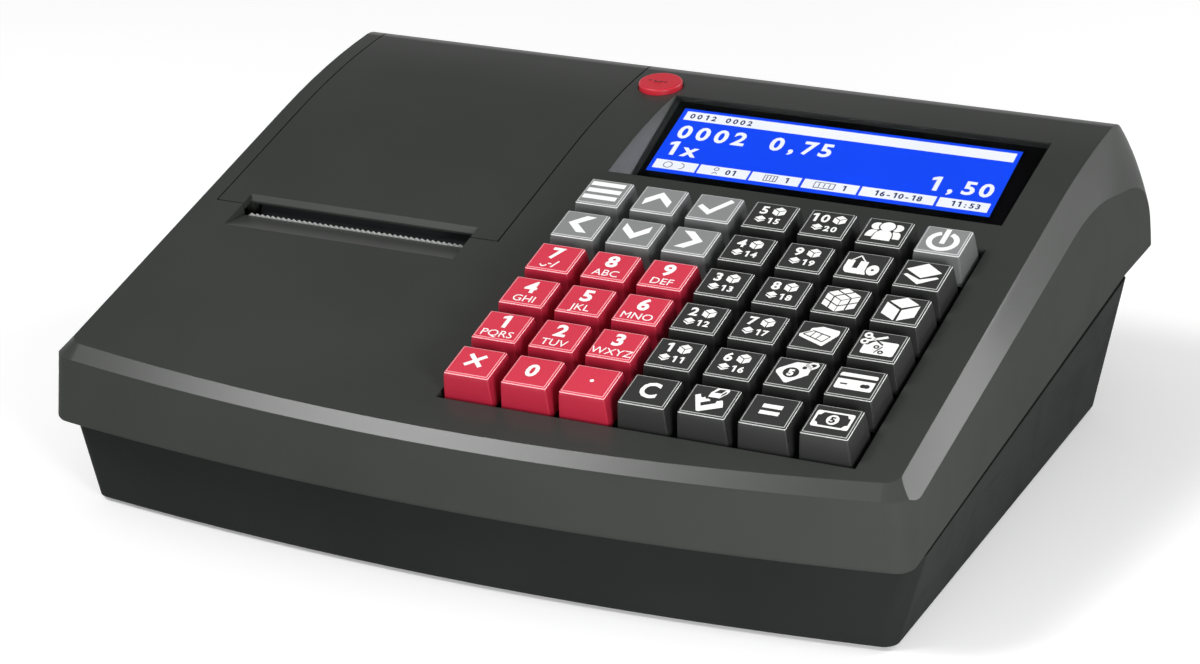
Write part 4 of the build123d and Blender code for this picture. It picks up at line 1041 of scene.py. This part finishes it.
def makeFeedSign():
    bm = bmesh.new()
    bed = (button["proud"] - button["inkSink"], button["inkHeight"], 0)
    for points in button["lines"]:
        patch(bm, points, *bed)
    ring(bm, button["roll"], button["rollInner"], button["rollOuter"], 0, 360, *bed)
    buttonPlane = slant(button["lean"], button["place"])
    finishPiece("feed_sign", bm, buttonPlane, ["darkInk"], "paper_feed")


makeFeedSign()
print("feed button printed")

# floor, light and camera
stage = {
    "floor": "#f4f4f4", "floorSize": 4.0, "floorRoughness": 0.9, "floorSpecular": 0.1, "floorLift": 0.2,
    "room": 0.45, "ceiling": 0.1,
    "fade": (0.1, 0.45),       # white up to above eye level, and a dim ceiling
    "lamps": [
        # name, place, aim, width, height, power
        ("top", (-0.68, -0.72, 1.25), (0.0, -0.1, 0.05), 0.5, 0.5, 13.0),
        ("right", (1.03, 1.0, 0.76), (0.13, -0.02, 0.07), 0.35, 0.85, 7.0),
        ("front", (-0.05, -1.6, 0.14), (0.1, -0.12, 0.04), 0.5, 0.3, 1.5),
        ("corner", (0.44, -0.46, 0.13), (0.13, -0.12, 0.05), 0.16, 0.16, 2.3),
    ],
}
view = {
    "lens": 100.98, "sensor": 36.0, "place": (0.4333, -0.91885, 0.4564),
    "right": (0.90573, 0.42344, -0.01868), "up": (-0.14492, 0.35079, 0.92518),
    "back": (0.39830, -0.83525, 0.37908),
}


def whiteRays(tree):
    # what the camera, gloss and glass see of the background
    rays = addNode(tree, "LightPath").outputs
    return larger(
        tree, larger(tree, rays["Is Camera Ray"], rays["Is Glossy Ray"]), rays["Is Transmission Ray"])


def mixShaders(tree, factor, first, second):
    mix = addNode(tree, "MixShader")
    for place, socket in enumerate((factor, first.outputs[0], second.outputs[0])):
        tree.links.new(socket, mix.inputs[place])
    return mix.outputs[0]


def makeWorld():
    world = bpy.data.worlds.new("studio")
    bpy.context.scene.world = world
    world.use_nodes = True
    tree = world.node_tree
    tree.nodes.clear()
    room = addNode(tree, "Background", [("Color", (1, 1, 1, 1)), ("Strength", stage["room"])])
    white = addNode(tree, "Background", [("Color", (1, 1, 1, 1))])
    axes = addNode(tree, "SeparateXYZ")
    tree.links.new(addNode(tree, "TexCoord").outputs["Generated"], axes.inputs[0])
    fade = ranged(tree, axes.outputs["Z"], stage["fade"], (1.0, stage["ceiling"]))
    tree.links.new(fade, white.inputs["Strength"])
    out = addNode(tree, "OutputWorld")
    tree.links.new(mixShaders(tree, whiteRays(tree), room, white), out.inputs[0])


def makeFloor():
    bm = bmesh.new()
    bmesh.ops.create_grid(bm, x_segments=2, y_segments=2, size=stage["floorSize"])
    mesh = bpy.data.meshes.new("floor")
    bm.to_mesh(mesh)
    bm.free()
    floor = bpy.data.objects.new("floor", mesh)
    bpy.context.scene.collection.objects.link(floor)
    material, tree, shader = startMaterial("floorPaper")
    shader.inputs["Base Color"].default_value = paint(stage["floor"])
    shader.inputs["Roughness"].default_value = stage["floorRoughness"]
    shader.inputs["Specular IOR Level"].default_value = stage["floorSpecular"]
    none = addNode(tree, "Emission", [("Strength", 0.0)])
    lift = addNode(tree, "Emission", [("Strength", stage["floorLift"])])
    both = addNode(tree, "AddShader")
    tree.links.new(shader.outputs[0], both.inputs[0])
    tree.links.new(mixShaders(tree, whiteRays(tree), none, lift), both.inputs[1])
    tree.links.new(both.outputs[0], tree.nodes["Material Output"].inputs["Surface"])
    mesh.materials.append(material)


def makeLamps():
    for name, place, target, width, height, power in stage["lamps"]:
        light = bpy.data.lights.new(name + "Lamp", "AREA")
        light.shape = "RECTANGLE"
        light.size = width
        light.size_y = height
        light.energy = power
        lamp = bpy.data.objects.new(name + "Lamp", light)
        lamp.location = place
        lamp.visible_camera = False
        lamp.rotation_euler = (Vector(target) - Vector(place)).to_track_quat("-Z", "Y").to_euler()
        bpy.context.scene.collection.objects.link(lamp)


def makeCamera():
    data = bpy.data.cameras.new("view")
    data.lens = view["lens"]
    data.sensor_width = view["sensor"]
    camera = bpy.data.objects.new("view", data)
    turn = Matrix((view["right"], view["up"], view["back"])).transposed().to_4x4()
    camera.matrix_world = Matrix.Translation(view["place"]) @ turn
    bpy.context.scene.collection.objects.link(camera)
    bpy.context.scene.camera = camera


makeWorld()
makeFloor()
makeLamps()
makeCamera()
bpy.context.scene.view_settings.view_transform = "Standard"
print("stage set")
